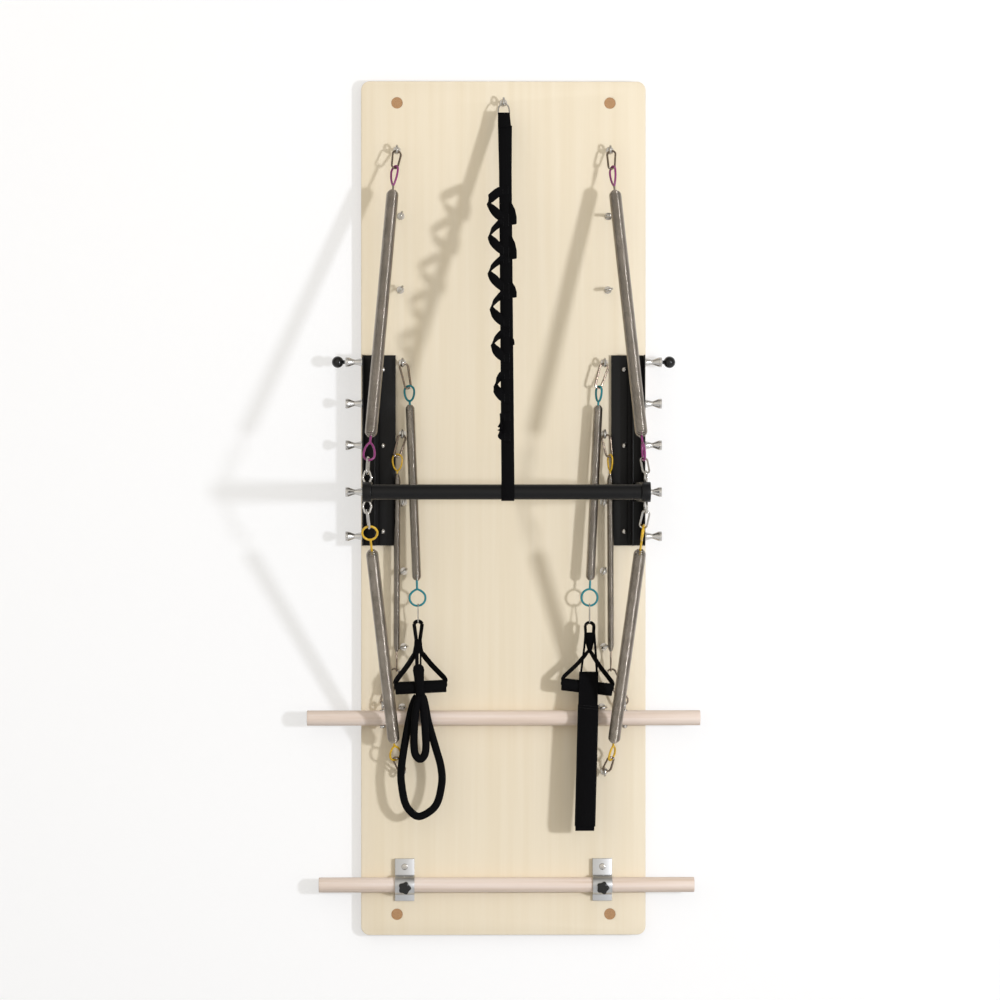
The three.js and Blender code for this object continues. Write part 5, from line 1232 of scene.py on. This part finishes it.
def makeRopes():
    on, gripDrop, crossing, forward, down = frames["left"]
    neck = ropes["neck"]
    under = lambda ahead, drop: on(handle["gripShift"], ahead, gripDrop + drop)
    for kind, ahead, replaced in (("big", 0.0, ["foot_loops_left"]), ("small", ropes["front"], [])):
        line = smoothLine([under(ahead, neck - z / 1000) + flat * x / 1000 for x, z in ropes[kind]], ropes["steps"])
        mesh = wire("rope", line, ropes["diameter"], "rope", ropes["around"], normal=(0, 1, 0))
        rope = piece(f"foot_rope_{kind}", [mesh], "handle_left", replaced)
    front = handle["grip"] / 2 + ropes["frontGap"]
    near = lambda frontShare, step, neckShare, drop: under(front * frontShare + step, neck * neckShare + drop)
    webbing = []
    for ahead, aside, wide in ropes["carriers"]:
        line = smoothLine([crossing + down * drop + forward * ((front if isFront else ahead) + step) + flat * aside
                           for isFront, step, drop in ropes["carrierRoute"]], 6)
        webbing.append(ribbon("carrier", line, flat, wide, ropes["carrierThickness"]))
    line = smoothLine([near(*row) for row in ropes["backRoute"]], 8)
    webbing.append(ribbon("carrier", line, flat, ropes["backWidth"], ropes["backThickness"]))
    piece("foot_rope_carrier", webbing, "handle_left")
    line = smoothLine([flat * ropes["sleeveAside"] * share + near(*row) for share, *row in ropes["sleeveRoute"]], 8)
    girth = np.interp(np.arange(len(line)) / 8, ropes["girthPlaces"], ropes["girths"])
    sleeve = wire("sleeve", line, girth, "rope", 20, normal=(1, 0, 0))
    for vertex in sleeve.vertices:
        place = np.array(vertex.co)
        nearest = line[np.argmin(np.linalg.norm(line - place, axis=1))]
        vertex.co -= Vector(forward) * float((place - nearest) @ forward) * ropes["flattenShare"]
    piece("foot_rope_sleeve", [sleeve], "handle_left")


makeRopes()
print("rope loops made")

# Wide foot strap over the right grip, and the narrow straps that carry it

# Upper route of a carrier: rise over the crossing, steps aside and forward. Lower route: shares of the strap's place
# over the grip, and drops from its top
foot = {"width": 0.0435, "outerWidth": 0.0478, "thickness": 0.0028, "gap": 0.008, "shift": 0.003, "lean": 0.028,
        "rise": 0.018, "drop": 0.326, "levelRise": 0.026, "step": 0.040, "narrow": 0.0062, "narrowThickness": 0.0022,
        "gripPlay": 0.0006, "outerShare": 0.8, "outerPlace": 1.1, "outerFoot": 0.006, "seamPlace": 1.55,
        "rowHeights": (-0.043, -0.049), "rowHalf": 0.021, "sideSeams": (-0.0215, 0.0215), "sideSeamFoot": -0.31,
        "carrierInset": 0.003, "carrierLean": (0.75, 0.65),
        "upperRoute": [(0.042, 0.0100, 0.011), (0.010, 0.0125, 0.013)], "lowerRoute": [(0.7, 0.008), (1.02, 0.022)]}


def makeFootStrap():
    on, gripDrop, crossing, forward, down = frames["right"]
    slope = math.tan(math.radians(handle["tilts"]["right"]))
    inward = handle["gripShift"] - foot["shift"]
    wide, thick, drop = foot["width"], foot["thickness"], foot["drop"]
    over = handle["grip"] / 2 + foot["gripPlay"] + thick / 2
    apart = foot["gap"] + thick

    # A point of the strap, which follows the tilted grip at its top and hangs level at its foot
    def bent(ahead, up, x=0.0):
        share = 1 + up / drop if up < 0 else 1 - up / foot["levelRise"]
        tilted = slope * x * min(1, max(0, share))
        return on(inward, ahead, gripDrop + slope * foot["shift"] - up + tilted) + flat * (x + foot["lean"] * up)

    path = [(over * math.cos(t), foot["rise"] + over * math.sin(t)) for t in np.linspace(0, math.pi, 17)]
    path += [(-over, 0), (-over * 0.9, -0.025), (over - 2 * apart, -0.087), (over - 1.5 * apart, -0.21),
             (over - apart, apart / 2 - drop), (over - apart * 0.85, -drop + 0.002), (over - apart / 2, -drop),
             (over - apart * 0.15, -drop + 0.002), (over, apart / 2 - drop), (over + 0.001, -0.24),
             (over + 0.002, -0.14), (over + 0.001, -0.05)]
    dense = smoothRing([(ahead, up, 0) for ahead, up in path])
    rings, uvs = [], []
    steps = np.linspace(-0.5, 0.5, 9)
    for (ahead, up, _), way, run in zip(dense, tangents(dense, True), runs(dense)):
        out, rise = way[1] * thick / 2, -way[0] * thick / 2
        rings.append([bent(ahead + out, up + rise, wide * s) for s in steps]
                     + [bent(ahead - out, up - rise, wide * s) for s in steps[::-1]])
        uvs += [(wide * s, run) for s in (*steps, *steps[::-1])]
    meshes = [facedOut(meshOf("strap", *skin(rings, True), "web", uvs, 50))]
    overlap = [bent(over + thick * foot["outerPlace"], up)
               for up in np.linspace(-foot["step"], -drop + foot["outerFoot"], 16)]
    meshes.append(ribbon("outer layer", overlap, flat, foot["outerWidth"], thick * foot["outerShare"]))
    piece("foot_strap_right_webbing", meshes, "handle_right", ["foot_strap_right"])
    carriers = []
    panelTop = foot["rise"] + over
    for s in (-1, 1):
        corner = s * (wide / 2 - foot["carrierInset"])
        line = [crossing - down * rise + flat * s * aside + forward * ahead
                for rise, aside, ahead in foot["upperRoute"]]
        line += [bent(over * share, panelTop - fall, corner) for share, fall in foot["lowerRoute"]]
        line = smoothLine(line, 8)
        across = unit(flat * foot["carrierLean"][0] + forward * foot["carrierLean"][1] * s)
        carriers.append(ribbon("carrier", line, across, foot["narrow"], foot["narrowThickness"]))
    piece("foot_strap_carriers", carriers, "handle_right")
    seamed = lambda up, x: bent(over + thick * foot["seamPlace"], up, x)
    seams = [stitches([seamed(up, x) for x in np.linspace(-foot["rowHalf"], foot["rowHalf"], 8)])
             for up in foot["rowHeights"]]
    seams += [stitches([seamed(up, x) for up in np.linspace(foot["rowHeights"][0], foot["sideSeamFoot"], 14)])
              for x in foot["sideSeams"]]
    piece("foot_strap_seams", seams, "handle_right")


makeFootStrap()
print("foot strap made")

# Wall, floor, light and camera

stage = {"wall": 6.0, "wallPlace": 0.0012, "floorHeight": -1.5, "color": (0.5, 0.5, 0.5), "roughness": 0.9,
         "lift": 0.52}


def stageFinish(name, seenFromBehind):
    finish = Finish(name, stage["color"], stage["roughness"], Specular_IOR_Level=0.0)
    output = finish.tree.nodes["Material Output"]
    glow = finish.node("Emission", {"Color": (1, 1, 1, 1), "Strength": stage["lift"]})
    rays = finish.node("LightPath")
    seen = rays.outputs["Is Camera Ray"]
    for kind in ("Is Glossy Ray", "Is Transmission Ray"):
        seen = finish.node("Math", {0: seen, 1: rays.outputs[kind]}, operation="MAXIMUM").outputs["Value"]
    added = finish.node("AddShader", {0: finish.shader.outputs["BSDF"], 1: glow.outputs["Emission"]})
    mixed = finish.node("MixShader", {0: seen, 1: finish.shader.outputs["BSDF"], 2: added.outputs["Shader"]})
    result = mixed.outputs["Shader"]
    if not seenFromBehind:
        clear = finish.node("BsdfTransparent")
        shape = finish.node("NewGeometry")
        result = finish.node("MixShader", {0: shape.outputs["Backfacing"], 1: result,
                                           2: clear.outputs["BSDF"]}).outputs["Shader"]
    finish.tree.links.new(result, output.inputs["Surface"])
    return finish.made


def makeStage():
    half, back, depth = stage["wall"], stage["wallPlace"], stage["floorHeight"]
    for name, far, seenFromBehind in (("wall", (back, half), False), ("floor", (back, depth), True)):
        near = (back, depth) if name == "wall" else (-half, depth)
        mesh = bpy.data.meshes.new(name)
        mesh.from_pydata([(-half, *near), (half, *near), (half, *far), (-half, *far)], [], [(0, 1, 2, 3)])
        mesh.materials.append(stageFinish(name + " paint", seenFromBehind))
        linked("stage_" + name, mesh)


studio = {"key": {"place": (4.1, -6.0, 0.03), "aim": (-0.1, 0, 0.03), "size": 0.46, "power": 228,
                  "color": (0.97, 1.0, 1.08)},
          "front": 1.14,  # how bright the room is behind the camera, and at its sides
          "sides": 0.15, "roomColor": (1.0, 0.955, 0.88)}
view = {"place": (-0.2, -11.03, 0.037), "aim": (-0.008, -0.03, 0.019), "frame": 2.32, "sensor": 36.0}


# A lamp or a camera at its place, turned to its aim
def aimed(name, data, look):
    made = linked(name, data)
    made.location = look["place"]
    made.rotation_mode = "QUATERNION"
    made.rotation_quaternion = (Vector(look["aim"]) - Vector(look["place"])).to_track_quat("-Z", "Y")
    return made


def makeLights():
    light = studio["key"]
    data = bpy.data.lights.new("key", "AREA")
    data.energy, data.size, data.color = light["power"], light["size"], light["color"]
    aimed("key", data, light)
    world = bpy.data.worlds.new("studio")
    world.use_nodes = True
    scene.world = world
    tree = world.node_tree
    back = tree.nodes["Background"]
    back.inputs["Color"].default_value = (*studio["roomColor"], 1)
    way = addNode(tree, "ShaderNodeTexCoord").outputs["Generated"]
    ahead = addNode(tree, "ShaderNodeSeparateXYZ", {"Vector": way}).outputs["Y"]
    level = addNode(tree, "ShaderNodeMapRange", {"Value": ahead, "From Min": -1.0, "From Max": 0.0,
                                                 "To Min": studio["front"], "To Max": studio["sides"]})
    tree.links.new(level.outputs["Result"], back.inputs["Strength"])


def makeCamera():
    data = bpy.data.cameras.new("camera")
    data.sensor_width = view["sensor"]
    data.lens = view["sensor"] * (Vector(view["aim"]) - Vector(view["place"])).length / view["frame"]
    data.clip_start, data.clip_end = 0.1, 60
    scene.camera = aimed("camera", data, view)


makeStage()
makeLights()
makeCamera()
scene.view_settings.view_transform = "Standard"
print("stage, lights and camera made")
